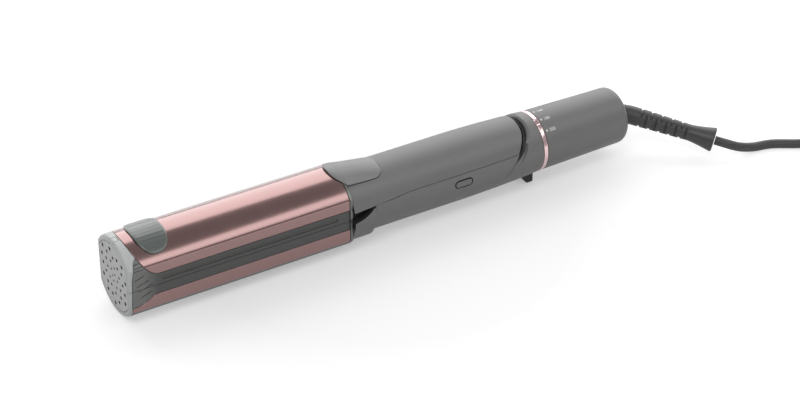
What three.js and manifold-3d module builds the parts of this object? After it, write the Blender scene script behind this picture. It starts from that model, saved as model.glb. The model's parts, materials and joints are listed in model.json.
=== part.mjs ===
import * as THREE from "three";
import { mergeVertices } from "three/addons/utils/BufferGeometryUtils.js";
import Module from "manifold-3d";

const wasm = await Module();
wasm.setup();

// All sizes are in millimetres. X runs from the tip to the cord, Z is up, and -Y is the button side.
// Stations are written from the tip face and from the long axis, and place() moves them to the part frame.
const BODY_LENGTH = 293.7;
const GAP = 0.3;

// Barrel: a round tube with an upright flat on each side, which rests on a narrow flat of its own.
const BARREL_RADIUS = 21;
const BARREL_FLAT = BARREL_RADIUS - 3.77;
const AXIS_HEIGHT = BARREL_RADIUS - 0.1;
const BARREL_END = 121.7;
const TIP_ROUND = 1.7;
const SKIN = 1.2;
const FRAME_WALL = 1.9;
const ARC_STEPS = 18;
const SPLIT = 0.15;

// Edges of the barrel skins.
const SKIN_TOP_CENTRE = 17.4;
const SKIN_TOP_REACH = 13;
const SKIN_TOP_ARC = 25.7;
const SKIN_TOP_EDGE = 6.5;
const SKIN_LOW_EDGE = -5.2;
const SKIN_LOW_CURVE = [
  [0.9, -9.7], [3.5, -9.6], [5.4, -9.4], [8.1, -8.7], [10.8, -7.2], [13.4, -5.7], [16, -5.2],
];
const CAP_TOP_CURVE = [
  [1.85, 0], [2.1, 4.8], [2.7, 9.5], [3.4, 13], [4.6, 15.2], [6.6, 16.5], [8.4, 17.4],
];
const CAP_LOW_CURVE = [[1.85, 0], [1.6, -4.5], [1.4, -8.7], [1.5, -14], [1.9, -25]];

// Tip grille.
const GRILLE_RADIUS = BARREL_RADIUS - 2.9;
const GRILLE_FLAT = BARREL_FLAT - 1.93;
const GRILLE_THICK = 1.8;
const GRILLE_FRONT = 0.1;
const GRILLE_HOLES = 38;
const GRILLE_SPREAD = 16.4;
const GRILLE_POWER = 0.6;
const GRILLE_HOLE_MIN = 0.42;
const GRILLE_HOLE_MAX = 0.72;
const TAB_HALF = 1.7;
const TAB_END = 3.4;

// Finger rest on the top skin, and its fine ribs.
const REST_CENTRE = 18.2;
const REST_HALF = 8.5;
const REST_ARC = 15.4;
const REST_POWER = 2.4;
const REST_RISE = 0.8;
const REST_RIBS = 9;
const REST_RIB_DEPTH = 0.16;

// Side details of the dark frames.
const VENT_FRONT = 18;
const VENT_REAR = 115;
const VENT_LEVEL = 3.1;
const VENT_HALF = 1.1;
const VENT_DEPTH = 0.5;

// Grooves of the cheeks: long diagonal ones, then fine ones behind the cap. Each is station, height, length.
const GRIP_GROOVES = [[6, 6.7, 5], [7.8, 3.2, 6.8], [9.3, 0.3, 7.9], [9, -3.7, 5.8]];
const GRIP_TILT = 0.33;
const GRIP_WIDTH = 0.6;
const GRIP_DEPTH = 0.45;
const FINE_GROOVES = [[5.6, 14.1, 4.5], [6.2, 12.7, 5], [5.6, 11.3, 5.5]];
const FINE_TILT = 0.08;
const FINE_WIDTH = 0.45;

// Plates, heaters and their cushions.
const PLATE_FRONT = 8;
const PLATE_REAR = 117.5;
const PLATE_HALF = 13.2;
const PLATE_THICK = 1.9;
const HEATER_FRONT = 24;
const HEATER_REAR = 104;
const HEATER_HALF = 6;
const HEATER_THICK = 3;
const CUSHION_THICK = 3;
const CUSHION_HALF = 5;
const RIB_STATIONS = [32, 92];
const RIB_HALF = 4;

// Joint between barrel and handle.
const TRIM_FRONT = 122;
const TRIM_REAR = 123.4;
const TONGUE_RADIUS = 15.3;
const TONGUE_REAR = 139;
const HANDLE_FRONT = 123.7;
const HANDLE_WALL = 2.1;

// Outer profiles of the handle halves, as station and radius.
const LOWER_PROFILE = [
  [HANDLE_FRONT, 19.8], [135.4, 19.8], [136, 19.2], [136.6, 18.2], [137.4, 17.9],
  [195, 17.9], [212, 17.6], [229, 17.0], [238.2, 16.33],
];
const UPPER_PROFILE = [
  [HANDLE_FRONT, 19.5], [130, 18.95], [137, 18.4], [144, 18.05], [151, 17.9],
  [195, 17.9], [212, 17.55], [222, 17.1], [232, 16.6],
];
const WEDGE_TOP = 4.6;
const SEAM_CURVE = [[134.5, 4.45], [140, 4.6], [147, 4.95], [156, 5.85], [224.9, 5.85]];
const WEDGE_CURVE = [[HANDLE_FRONT - 1, -1.1], [125.5, -0.6], [129.8, 0.9], [132.6, 2.7]];
const COLLAR_EDGE = [[226.1, 7.2], [228.8, 11.1], [230.9, 14.4], [231.3, 16.8], [231.4, 25]];
const COLLAR_SLACK = 2.6;
const BEVEL_INNER = [[90, 231.3], [65, 231], [48, 229.8], [36, 227.9], [23, 225.6], [10, 222.9], [-4, 219]];
const BEVEL_REACH = [1.6, 2.4, 2.6, 2.8, 2.8, 2.6, 0.8];
const BEVEL_DEPTH = [2, 2, 2, 2, 1.8, 1.2, 0.1];
const CRESCENT = [[228, 10.2, 2], [226.1, 7.2, 2.2], [222.9, 2.9, 1.7], [218, -1.6, 1.1], [214.3, -5.1, 0.5]];
const TAIL_CENTRE = 208;
const TAIL_REACH = 20.7;
const TAIL_HALF = 16.3;
const TAIL_POWER = 3.3;

// Thumb pad on the upper cover.
const PAD_FRONT = 118;
const PAD_SHOULDER = 124;
const PAD_REAR = 146;
const PAD_CORNER = 6;
const PAD_ANGLE = 33;
const PAD_THICK = 1.1;
const PAD_STEPS = 12;
const PAD_CROWN = [
  [118, 22.25], [121, 22.3], [124, 22.2], [130, 21.4], [137, 20.2], [143, 19], [146, 18.35],
];
const PAD_EDGE = [
  [118, 21.9], [121, 21.7], [124, 20.9], [130, 19.7], [137, 19], [143, 18.5], [146, 18.2],
];

// Hinge between the arms.
const HINGE_X = 222;
const HINGE_Z = 4;
const PIN_RADIUS = 1.5;
const PIN_HALF = 12;
const KNUCKLE_INNER = 5.2;
const KNUCKLE_OUTER = 8.6;
const KNUCKLE_RADIUS = 3.6;
const SPRING_RADIUS = 2.9;
const SPRING_WIRE = 0.6;
const SPRING_TURNS = 4;
const SPRING_STEPS = 8;
const SPRING_SIDES = 5;
const HINGE_ROOM = 9.4;

// Fan and motor in the lower housing.
const FAN_Z = -5;
const FAN_BORE = 9.8;
const DUCT_OUTER = 9.5;
const DUCT_INNER = 8.7;
const DUCT_FRONT = 146;
const DUCT_REAR = 176;
const FAN_RADIUS = 8.2;
const FAN_FRONT = 149;
const FAN_LENGTH = 6;
const HUB_RADIUS = 3;
const BLADES = 7;
const SHAFT_RADIUS = 0.8;
const MOTOR_RADIUS = 6.5;
const MOTOR_LENGTH = 17;
const SPIDER_LENGTH = 3;

// Circuit board, button and its switch.
const BOARD_FRONT = 180;
const BOARD_REAR = 212;
const BOARD_HALF = 9.5;
const BOARD_Z = -7;
const BOARD_THICK = 1.6;
const POCKET_FLOOR = -12;
const POCKET_HALF = 11.5;
const BUTTON_X = 188.3;
const BUTTON_Z = 0.8;
const BUTTON_LENGTH = 10.2;
const BUTTON_HEIGHT = 4.1;
const BUTTON_FACE = -18.1;
const BUTTON_BACK = -13.4;
const BUTTON_FLANGE = 1.2;
const BUTTON_TRAVEL = 0.8;
const BUTTON_SEAT = -15.6;
const BUTTON_SEAT_BACK = -11;
const SWITCH_LENGTH = 6;
const SWITCH_DEPTH = 5.5;

// Ring, dial, spindle and swivel.
const RING_FRONT = 238.5;
const RING_REAR = 240.8;
const RING_RADIUS = 16.33;
const NOTCH_ANGLE = 68;
const NOTCH_WIDTH = 1.7;
const NOTCH_ARC = 3.4;
const NOTCH_DEPTH = 1;
const DIAL_FRONT = 241.1;
const DIAL_FRONT_RADIUS = 16.2;
const DIAL_REAR_RADIUS = 15.3;
const DIAL_MIDDLE = [[258, 15.95], [270, 15.68], [280, 15.48]];
const DIAL_ROUND = 4.2;
const DIAL_WALL = 2;
const DIAL_END_WALL = 5.4;
const SPINDLE_RADIUS = 7.4;
const SPINDLE_REAR = BODY_LENGTH - GAP;
const SPINDLE_END_RADIUS = 10.5;
const SPINDLE_END_THICK = 4;
const RELIEF_NECK = 5;
const SPINDLE_BORE = RELIEF_NECK + 0.35;
const LATHE_STEPS = 40;

// Lock slider under the collar.
const LOCK_FRONT = 231.3;
const LOCK_REAR = 238;
const LOCK_HALF = 6.5;
const LOCK_TRAVEL = 4.5;
const LOCK_CLEAR = 0.55;
const LOCK_NECK = 1.7;
const LOCK_KEEPER = 3.6;
const KEEPER_LOW = -13.5;
const KEEPER_HIGH = -11.3;

// Strain relief: route, then its slots, which lie in turn over and under the cord and beside it.
const RELIEF_ROUTE = [
  [278, 0, 0], [286, 0, 0], [293.7, 0, 0], [300, -3, -1], [306.5, -8.3, -2.9],
  [320.5, -21.2, -7], [334.6, -34.7, -11],
];
const RELIEF_SLOTS = 10;
const RELIEF_SLOT_START = 29.5;
const RELIEF_SLOT_PITCH = 2.8;
const RELIEF_SLOT_WIDTH = 1.1;
const RELIEF_SLOT_DEPTH = 1.1;
const RELIEF_WAIST = 4.4;
const RELIEF_FLARE_LENGTH = 14;
const RELIEF_FLARE_RADIUS = 6.75;
const RELIEF_SIDES = 12;

// Cord, its coil, tie and plug. The plug is placed from the coil's end, and the tail's bend from the plug.
const CORD_DIAMETER = 5;
const CORD_SIDES = 8;
const CORD_STEPS = 20;
const CORD_ROUTE = [
  [335, -35.05, -11.1], [338.9, -38.7, -12.2], [346, -41.5, -15.2], [355, -42.3, -17.9],
  [366, -44.5, -18.3], [380, -52.3, -18.3], [398, -59.5, -18.2], [418.5, -65.8, -17.7],
];
const COIL_X = 450;
const COIL_Y = -45;
const COIL_LAYERS = 4;
const COIL_LAYER_TURNS = 2.3;
const COIL_OUTER = 34;
const COIL_INNER = 21;
const COIL_LIFT = 1;
const COIL_RISE = 5.6;
const COIL_STEPS = 22;
const COIL_SIDES = 6;
const COIL_START_ANGLE = 236.5;
const TIE_ANGLE = 118;
const TIE_WIDTH = 6;
const TIE_THICK = 0.6;
const PLUG_ASIDE = 30;
const PLUG_AHEAD = 50;
const TAIL_BEND = [[-12.9, -38.3, 11.2], [-5.1, -29.6, 6.6], [-1.1, -19.1, 2.1]];
const TAIL_STEPS = 16;
const PLUG_LENGTH = 34;
const PLUG_WIDTH = 30;
const PLUG_HEIGHT = 14;
const PLUG_NECK = 8.6;
const PLUG_NOSE = 6;
const PLUG_SHOULDER = 14;
const PLUG_SQUARE = 0.45;
const PLUG_PIN_RADIUS = 2.4;
const PLUG_PIN_LENGTH = 19;
const PLUG_PIN_SPACING = 9.5;

const ROSE = new THREE.MeshStandardMaterial({ color: 0xd9a9ab, metalness: 1, roughness: 0.2 });
const DARK = new THREE.MeshStandardMaterial({ color: 0x4b4f4c, metalness: 0, roughness: 0.5 });
const GREY = new THREE.MeshStandardMaterial({ color: 0x707070, metalness: 0, roughness: 0.45 });
const PALE = new THREE.MeshStandardMaterial({ color: 0xc6c8c6, metalness: 0, roughness: 0.5 });
const STEEL = new THREE.MeshStandardMaterial({ color: 0xb9bcc0, metalness: 1, roughness: 0.3 });
const COPPER = new THREE.MeshStandardMaterial({ color: 0xb87a52, metalness: 1, roughness: 0.35 });
const GREEN = new THREE.MeshStandardMaterial({ color: 0x2f6b46, metalness: 0, roughness: 0.5 });
const SILICONE = new THREE.MeshStandardMaterial({ color: 0xcf6a4c, metalness: 0, roughness: 0.8 });
const RUBBER = new THREE.MeshStandardMaterial({ color: 0x3c3c3e, metalness: 0, roughness: 0.6 });

const group = new THREE.Group();

// Closed mesh from points and triangles.
function meshOf(points, triangles) {
  const geometry = new THREE.BufferGeometry();
  geometry.setAttribute("position", new THREE.BufferAttribute(new Float32Array(points.flat()), 3));
  geometry.setIndex(triangles);
  return geometry;
}

// Solid of a closed geometry, turned outside out when its faces point inwards.
function solidOf(geometry) {
  const bare = geometry.clone();
  bare.deleteAttribute("normal");
  bare.deleteAttribute("uv");
  const merged = mergeVertices(bare, 1e-4);
  const vertProperties = new Float32Array(merged.attributes.position.array);
  const triVerts = new Uint32Array(merged.index.array);
  const made = new wasm.Manifold(new wasm.Mesh({ numProp: 3, vertProperties, triVerts }));
  if (made.volume() > 0) return made;
  for (let i = 0; i < triVerts.length; i += 3) {
    [triVerts[i + 1], triVerts[i + 2]] = [triVerts[i + 2], triVerts[i + 1]];
  }
  return new wasm.Manifold(new wasm.Mesh({ numProp: 3, vertProperties, triVerts }));
}

// Geometry of a solid.
function geometryOf(solid) {
  const mesh = solid.getMesh();
  const geometry = new THREE.BufferGeometry();
  const position = new Float32Array(mesh.numVert * 3);
  for (let i = 0; i < mesh.numVert; i++) {
    position.set(mesh.vertProperties.subarray(i * mesh.numProp, i * mesh.numProp + 3), i * 3);
  }
  geometry.setAttribute("position", new THREE.BufferAttribute(position, 3));
  geometry.setIndex(new THREE.BufferAttribute(mesh.triVerts, 1));
  return geometry;
}

// Adds a named piece, moved from tip and axis stations to the part frame.
function place(name, solid, material) {
  const geometry = geometryOf(solid).translate(-BODY_LENGTH / 2, 0, AXIS_HEIGHT);
  const flat = geometry.toNonIndexed();
  flat.computeVertexNormals();
  const mesh = new THREE.Mesh(flat, material);
  mesh.name = name;
  group.add(mesh);
}

// Closed body through equal rings of points, with a fan over each end.
function loft(rings) {
  const count = rings[0].length;
  const points = rings.flat();
  const triangles = [];
  for (let i = 0; i + 1 < rings.length; i++) {
    for (let j = 0; j < count; j++) {
      const a = i * count + j;
      const b = i * count + ((j + 1) % count);
      triangles.push(a, b, a + count, b, b + count, a + count);
    }
  }
  const middle = (ring) => [0, 1, 2].map((k) => ring.reduce((sum, p) => sum + p[k], 0) / count);
  points.push(middle(rings[0]), middle(rings[rings.length - 1]));
  const first = points.length - 2;
  const last = (rings.length - 1) * count;
  for (let j = 0; j < count; j++) {
    const next = (j + 1) % count;
    triangles.push(first, next, j, first + 1, last + j, last + next);
  }
  return solidOf(meshOf(points, triangles));
}

// Body of revolution about X from a closed profile of station and radius.
function turn(profile, steps = LATHE_STEPS) {
  const points = profile.map(([x, r]) => new THREE.Vector2(r, x));
  if (profile[0][1] > 0) points.push(points[0].clone());
  return solidOf(new THREE.LatheGeometry(points, steps).rotateZ(-Math.PI / 2));
}

// Round bar along X.
function bar(x0, x1, radius, y = 0, z = 0, steps = 32) {
  return turn([[x0, 0], [x0, radius], [x1, radius], [x1, 0]], steps).translate([0, y, z]);
}

// Round bar along Y.
function crossBar(x, z, radius, y0, y1, steps = 20) {
  const geometry = new THREE.CylinderGeometry(radius, radius, y1 - y0, steps);
  return solidOf(geometry.translate(x, (y0 + y1) / 2, z));
}

// Box between two corners.
function box(x0, x1, y0, y1, z0, z1) {
  const geometry = new THREE.BoxGeometry(x1 - x0, y1 - y0, z1 - z0);
  return solidOf(geometry.translate((x0 + x1) / 2, (y0 + y1) / 2, (z0 + z1) / 2));
}

// Side-view outline pushed through along Y.
function sideCut(outline, half = 40) {
  const shape = new THREE.Shape(outline.map(([x, z]) => new THREE.Vector2(x, z)));
  const geometry = new THREE.ExtrudeGeometry(shape, { depth: 2 * half, bevelEnabled: false, steps: 1 });
  return solidOf(geometry.rotateX(Math.PI / 2).translate(0, half, 0));
}

// Plan-view outline pushed through along Z.
function planCut(outline, z0, z1) {
  const shape = new THREE.Shape(outline.map(([x, y]) => new THREE.Vector2(x, y)));
  const geometry = new THREE.ExtrudeGeometry(shape, { depth: z1 - z0, bevelEnabled: false, steps: 1 });
  return solidOf(geometry.translate(0, 0, z0));
}

// Smooth curve through plan or side points.
function smooth(points, steps) {
  const knots = points.map(([x, z]) => new THREE.Vector3(x, z, 0));
  const curve = new THREE.CatmullRomCurve3(knots, false, "centripetal");
  return curve.getPoints(steps).map((p) => [p.x, p.y]);
}

// Value at x of a table of x and value, joined by straight lines.
function along(table, x) {
  if (x <= table[0][0]) return table[0][1];
  for (let i = 1; i < table.length; i++) {
    const [x0, v0] = table[i - 1];
    const [x1, v1] = table[i];
    if (x <= x1) return v0 + ((v1 - v0) * (x - x0)) / (x1 - x0);
  }
  return table[table.length - 1][1];
}

// Smooth curve in space through a route.
function curveThrough(route) {
  return new THREE.CatmullRomCurve3(route.map((p) => new THREE.Vector3(...p)), false, "centripetal");
}

// Tube of varying radius along a smooth route, its rings square to the route.
function tubeAlong(route, steps, sides, radiusAt) {
  const curve = curveThrough(route);
  curve.arcLengthDivisions = 400;
  const length = curve.getLength();
  const frames = curve.computeFrenetFrames(steps, false);
  const rings = [];
  for (let i = 0; i <= steps; i++) {
    const centre = curve.getPointAt(i / steps);
    const radius = radiusAt((i / steps) * length);
    const ring = [];
    for (let j = 0; j < sides; j++) {
      const angle = (2 * Math.PI * j) / sides;
      const spoke = frames.normals[i].clone().multiplyScalar(radius * Math.cos(angle));
      spoke.addScaledVector(frames.binormals[i], radius * Math.sin(angle));
      ring.push([centre.x + spoke.x, centre.y + spoke.y, centre.z + spoke.z]);
    }
    rings.push(ring);
  }
  return loft(rings);
}

// Round tube of one diameter along a smooth route.
function roundTube(route, steps, sides, radius) {
  const curve = curveThrough(route);
  const shape = new THREE.Shape();
  for (let j = 0; j < sides; j++) {
    const angle = (2 * Math.PI * (j + 0.5)) / sides;
    const point = [radius * Math.cos(angle), radius * Math.sin(angle)];
    if (j === 0) shape.moveTo(...point);
    else shape.lineTo(...point);
  }
  const geometry = new THREE.ExtrudeGeometry(shape, { steps, extrudePath: curve, bevelEnabled: false });
  return { solid: solidOf(geometry), length: curve.getLength() };
}

// Ring of the barrel section at one station, drawn in by the inset.
function barrelRing(x, inset) {
  const radius = BARREL_RADIUS - inset;
  const start = Math.acos((BARREL_FLAT - inset) / radius);
  const ring = [];
  for (const base of [start, Math.PI + start]) {
    for (let i = 0; i <= ARC_STEPS; i++) {
      const angle = base + ((Math.PI - 2 * start) * i) / ARC_STEPS;
      ring.push([x, radius * Math.cos(angle), radius * Math.sin(angle)]);
    }
  }
  return ring;
}

// Straight length of the barrel section.
function barrel(x0, x1, inset) {
  return loft([barrelRing(x0, inset), barrelRing(x1, inset)]);
}

// Barrel section with the rounded front edge.
function roundedBarrel(x1) {
  const rings = [];
  for (let i = 0; i <= 4; i++) {
    const turned = (Math.PI / 2) * (i / 4);
    rings.push(barrelRing(TIP_ROUND * (1 - Math.cos(turned)), TIP_ROUND * (1 - Math.sin(turned))));
  }
  rings.push(barrelRing(x1, 0));
  return loft(rings).subtract(box(-5, x1 + 5, -30, 30, -40, -AXIS_HEIGHT));
}

// Side-view outline of the upper skin, grown by a clearance.
function upperSkinOutline(grow) {
  const start = Math.acos(BARREL_FLAT / BARREL_RADIUS);
  const arc = BARREL_RADIUS * (Math.PI / 2 - start);
  const outline = [];
  for (let i = 0; i <= 22; i++) {
    const u = (SKIN_TOP_ARC * i) / 22;
    const x = SKIN_TOP_CENTRE - (SKIN_TOP_REACH + grow) * Math.sqrt(1 - (u / SKIN_TOP_ARC) ** 2);
    const flat = BARREL_FLAT * Math.tan(start) - (u - arc);
    const z = u < arc ? BARREL_RADIUS * Math.cos(u / BARREL_RADIUS) : flat;
    outline.push([x, z - grow * (i / 22)]);
  }
  outline.push([BARREL_END + grow, SKIN_TOP_EDGE - grow], [BARREL_END + grow, 40], [outline[0][0], 40]);
  return outline;
}

// Side-view outline of the lower skin, grown by a clearance.
function lowerSkinOutline(grow) {
  const front = smooth(SKIN_LOW_CURVE, 18).map(([x, z]) => [x - grow * 0.5, z + grow]);
  const cap = smooth(CAP_LOW_CURVE, 12).filter(([, z]) => z < SKIN_LOW_CURVE[0][1] - 0.6);
  const under = cap.map(([x, z]) => [x + GAP - grow, z]).reverse();
  const rear = BARREL_END + grow;
  return [...under, ...front.slice(3), [rear, SKIN_LOW_EDGE + grow], [rear, -25]];
}

// Side-view outline in front of the cheek, used for the tip caps.
function capOutline(curve, grow, top) {
  const edge = smooth(curve, 14).map(([x, z]) => [x + grow, z]);
  const end = edge[edge.length - 1];
  return top
    ? [[-5, 0], ...edge, [end[0], 40], [-5, 40]]
    : [[-5, 0], [-5, -40], [end[0], -40], ...edge.reverse()];
}

// Half of the space on one side of the split between the arms.
function half(upper, level = SPLIT) {
  return upper ? box(-50, 400, -60, 60, level, 60) : box(-50, 400, -60, 60, -60, -level);
}

function barrelSkin(upper) {
  const outline = upper ? upperSkinOutline(0) : lowerSkinOutline(0);
  const tube = roundedBarrel(BARREL_END).subtract(barrel(-5, BARREL_END + 5, SKIN));
  const skin = tube.intersect(sideCut(outline));
  return upper ? skin : skin.intersect(half(false, 3));
}

// Opening for the tip grille with its clearance.
function grilleWindow(rear) {
  const hole = bar(-5, rear, GRILLE_RADIUS + GAP, 0, 0, 48);
  return hole.intersect(box(-9, 9, -GRILLE_FLAT - GAP, GRILLE_FLAT + GAP, -30, 30));
}

function tipCap(upper) {
  const curve = upper ? CAP_TOP_CURVE : CAP_LOW_CURVE;
  const skin = sideCut(upper ? upperSkinOutline(GAP) : lowerSkinOutline(GAP));
  let cap = roundedBarrel(12).intersect(sideCut(capOutline(curve, 0, upper))).intersect(half(upper));
  cap = cap.subtract(skin).subtract(grilleWindow(9));
  cap = cap.subtract(barrel(GRILLE_FRONT + GRILLE_THICK, 20, SKIN));
  const tab = TAB_HALF + GAP;
  return upper ? cap.subtract(box(-5, TAB_END + GAP, -tab, tab, 10, 40)) : cap;
}

function tipGrille() {
  const back = GRILLE_FRONT + GRILLE_THICK;
  let disc = bar(GRILLE_FRONT, back, GRILLE_RADIUS, 0, 0, 48);
  disc = disc.intersect(box(-9, 9, -GRILLE_FLAT, GRILLE_FLAT, -30, 30));
  const tabRoom = box(GRILLE_FRONT, TAB_END, -TAB_HALF, TAB_HALF, GRILLE_RADIUS - 1, 40);
  disc = disc.add(roundedBarrel(9).intersect(tabRoom).subtract(barrel(back, 20, SKIN)));
  const golden = Math.PI * (3 - Math.sqrt(5));
  for (let k = 0; k < GRILLE_HOLES; k++) {
    const share = ((k + 0.3) / GRILLE_HOLES) ** GRILLE_POWER;
    const y = GRILLE_SPREAD * share * Math.cos(k * golden);
    const z = GRILLE_SPREAD * share * Math.sin(k * golden);
    if (Math.abs(y) > GRILLE_FLAT - 1.4) continue;
    const radius = GRILLE_HOLE_MIN + (GRILLE_HOLE_MAX - GRILLE_HOLE_MIN) * share;
    disc = disc.subtract(bar(-1, back + 1, radius, y, z, 6));
  }
  return disc;
}

// Cutters for the grooves of both cheeks, shallow because the barrel inside their depth is taken out.
function cheekGrooves() {
  const cutter = ([x, z, length], width, tilt) => {
    const groove = new THREE.BoxGeometry(length, 60, width);
    return solidOf(groove.rotateY(-tilt).translate(x, 0, z));
  };
  const long = GRIP_GROOVES.map((groove) => cutter(groove, GRIP_WIDTH, GRIP_TILT));
  const fine = FINE_GROOVES.map((groove) => cutter(groove, FINE_WIDTH, FINE_TILT));
  const cuts = [...long, ...fine].reduce((all, cut) => all.add(cut));
  return cuts.subtract(barrel(-5, 60, GRIP_DEPTH));
}

// Side-view outline of a slot with round ends, from the middles of its ends, its level and its radius.
function pillOutline(front, rear, level, radius) {
  const outline = [];
  for (const [centre, base] of [[rear, -Math.PI / 2], [front, Math.PI / 2]]) {
    for (let i = 0; i <= 8; i++) {
      const angle = base + (Math.PI * i) / 8;
      outline.push([centre + radius * Math.cos(angle), level + radius * Math.sin(angle)]);
    }
  }
  return outline;
}

// Rounded slot along both sides of the upper frame.
function ventSlots() {
  const outline = pillOutline(VENT_FRONT + VENT_HALF, VENT_REAR - VENT_HALF, VENT_LEVEL, VENT_HALF);
  const inside = BARREL_FLAT - VENT_DEPTH;
  return sideCut(outline).subtract(box(-20, 200, -inside, inside, -30, 30));
}

// Dark channel of one arm: cheeks, side strips, plate ribs and a tongue into the handle.
function barrelFrame(upper) {
  const curve = upper ? CAP_TOP_CURVE : CAP_LOW_CURVE;
  const end = BARREL_END - GAP;
  const inset = SKIN + GAP;
  const nose = GRILLE_FRONT + GRILLE_THICK + GAP;
  const shown = roundedBarrel(end)
    .subtract(sideCut(upper ? upperSkinOutline(GAP) : lowerSkinOutline(GAP)))
    .subtract(sideCut(capOutline(curve, GAP, upper)))
    .subtract(grilleWindow(nose));
  let frame = barrel(nose, end, inset).add(shown);
  frame = frame.subtract(barrel(-5, end - FRAME_WALL, inset + FRAME_WALL));
  const deep = 2 * PLATE_THICK + HEATER_THICK + CUSHION_THICK + 3 * GAP;
  const ribFoot = SPLIT + deep - PLATE_THICK;
  for (const x of RIB_STATIONS) {
    const rib = box(x - RIB_HALF, x + RIB_HALF, -30, 30, ribFoot, 30);
    const turned = upper ? rib : rib.mirror([0, 0, 1]);
    frame = frame.add(turned.intersect(barrel(0, end, inset + 0.5)));
  }
  const root = upper ? WEDGE_TOP + 0.6 : 3.6;
  const tongue = bar(end - 1, TONGUE_REAR, TONGUE_RADIUS, 0, 0, 48);
  const keep = upper ? half(true, root) : half(false).add(box(end + GAP, 400, -60, 60, -1, root));
  frame = frame.intersect(half(upper)).add(tongue.intersect(keep));
  const low = upper ? root + 2 : -12;
  const high = upper ? 12 : 1.4;
  frame = frame.subtract(box(end - 10, TONGUE_REAR + 5, -9, 9, low, high));
  if (upper) frame = frame.subtract(ventSlots());
  return frame.subtract(cheekGrooves());
}

// Half ring of bright trim behind a barrel skin.
function barrelTrim(upper) {
  const ring = barrel(TRIM_FRONT, TRIM_REAR, 0).subtract(bar(0, 200, TONGUE_RADIUS + GAP, 0, 0, 48));
  const trim = ring.intersect(half(upper));
  return upper ? trim : trim.subtract(box(0, 300, -60, 60, -60, -AXIS_HEIGHT));
}

// Pad with fine ribs along X, raised on the top skin.
function fingerRest() {
  const rings = [];
  const across = REST_RIBS * 2;
  const stations = 9;
  const base = BARREL_RADIUS + GAP;
  for (let i = 0; i <= stations; i++) {
    const t = -Math.cos((Math.PI * i) / stations) * 0.985;
    const width = REST_ARC * (1 - Math.abs(t) ** REST_POWER) ** (1 / REST_POWER);
    const x = REST_CENTRE + REST_HALF * t;
    const ring = [];
    for (let j = 0; j <= across; j++) {
      const u = -1 + (2 * j) / across;
      const arc = width * u;
      const lip = Math.min(1, 4 * (1 - Math.max(Math.abs(t), Math.abs(u))));
      const wave = REST_RIB_DEPTH * Math.cos((2 * Math.PI * arc * REST_RIBS) / (2 * REST_ARC));
      const radius = base + 0.25 + (REST_RISE - GAP - REST_RIB_DEPTH) * Math.sqrt(lip) + wave * lip;
      ring.push([x, radius * Math.sin(arc / BARREL_RADIUS), radius * Math.cos(arc / BARREL_RADIUS)]);
    }
    for (let j = across; j >= 0; j--) {
      const arc = width * (-1 + (2 * j) / across);
      ring.push([x, base * Math.sin(arc / BARREL_RADIUS), base * Math.cos(arc / BARREL_RADIUS)]);
    }
    rings.push(ring);
  }
  return loft(rings);
}

function plate(upper) {
  const sign = upper ? 1 : -1;
  const z0 = SPLIT;
  const z1 = SPLIT + PLATE_THICK;
  const lip = 1.2;
  const outline = [
    [-PLATE_HALF, z0 + lip], [-PLATE_HALF + lip, z0], [PLATE_HALF - lip, z0],
    [PLATE_HALF, z0 + lip], [PLATE_HALF, z1], [-PLATE_HALF, z1],
  ];
  const ring = (x) => outline.map(([y, z]) => [x, y, sign * z]);
  return loft([ring(PLATE_FRONT), ring(PLATE_REAR)]);
}

function heater(upper) {
  const z0 = SPLIT + PLATE_THICK + GAP;
  const z1 = z0 + HEATER_THICK;
  const body = box(HEATER_FRONT, HEATER_REAR, -HEATER_HALF, HEATER_HALF, z0, z1);
  return upper ? body : body.mirror([0, 0, 1]);
}

function cushion(x, upper) {
  const z0 = SPLIT + PLATE_THICK + HEATER_THICK + 2 * GAP;
  const body = box(x - RIB_HALF, x + RIB_HALF, -CUSHION_HALF, CUSHION_HALF, z0, z0 + CUSHION_THICK);
  return upper ? body : body.mirror([0, 0, 1]);
}

// Half width in degrees of the thumb pad at one station.
function padHalfAngle(x) {
  const rear = PAD_REAR - PAD_CORNER;
  const lip = (x - PAD_FRONT) / (PAD_SHOULDER - PAD_FRONT);
  const corner = (x - rear) / PAD_CORNER;
  if (lip < 1) return 5 + (PAD_ANGLE - 5) * Math.sqrt(lip);
  if (corner > 0) return PAD_ANGLE - 19 + 19 * Math.sqrt(Math.max(0, 1 - corner ** 2));
  return PAD_ANGLE;
}

// Crowned pad whose front lip reaches over the barrel, grown by a clearance when it cuts its seat.
function thumbPad(grow) {
  const steps = PAD_STEPS;
  const offsets = [0, 0.5, 1.5, 3, 4.5, 5.9, 6.1, 9, 13, 18, 22, 24.5, 26.2, 27.3, 28];
  const stations = offsets.map((d) => PAD_FRONT + d);
  const rings = stations.map((x, i) => {
    const angle = (padHalfAngle(x) * Math.PI) / 180 + grow / 20;
    const shift = i === 0 ? -grow : i === stations.length - 1 ? grow : 0;
    const ring = [];
    for (let j = 0; j <= steps; j++) {
      const u = -1 + (2 * j) / steps;
      const crown = along(PAD_CROWN, x);
      const level = crown + (along(PAD_EDGE, x) - crown) * u * u + grow * 8;
      ring.push([x + shift, level * Math.sin(u * angle), level * Math.cos(u * angle)]);
    }
    const under = x < TRIM_REAR + 0.55 ? BARREL_RADIUS + GAP : along(UPPER_PROFILE, x) - PAD_THICK;
    for (let j = steps; j >= 0; j--) {
      const u = -1 + (2 * j) / steps;
      const level = under - grow;
      ring.push([x + shift, level * Math.sin(u * angle), level * Math.cos(u * angle)]);
    }
    return ring;
  });
  return loft(rings);
}

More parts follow.
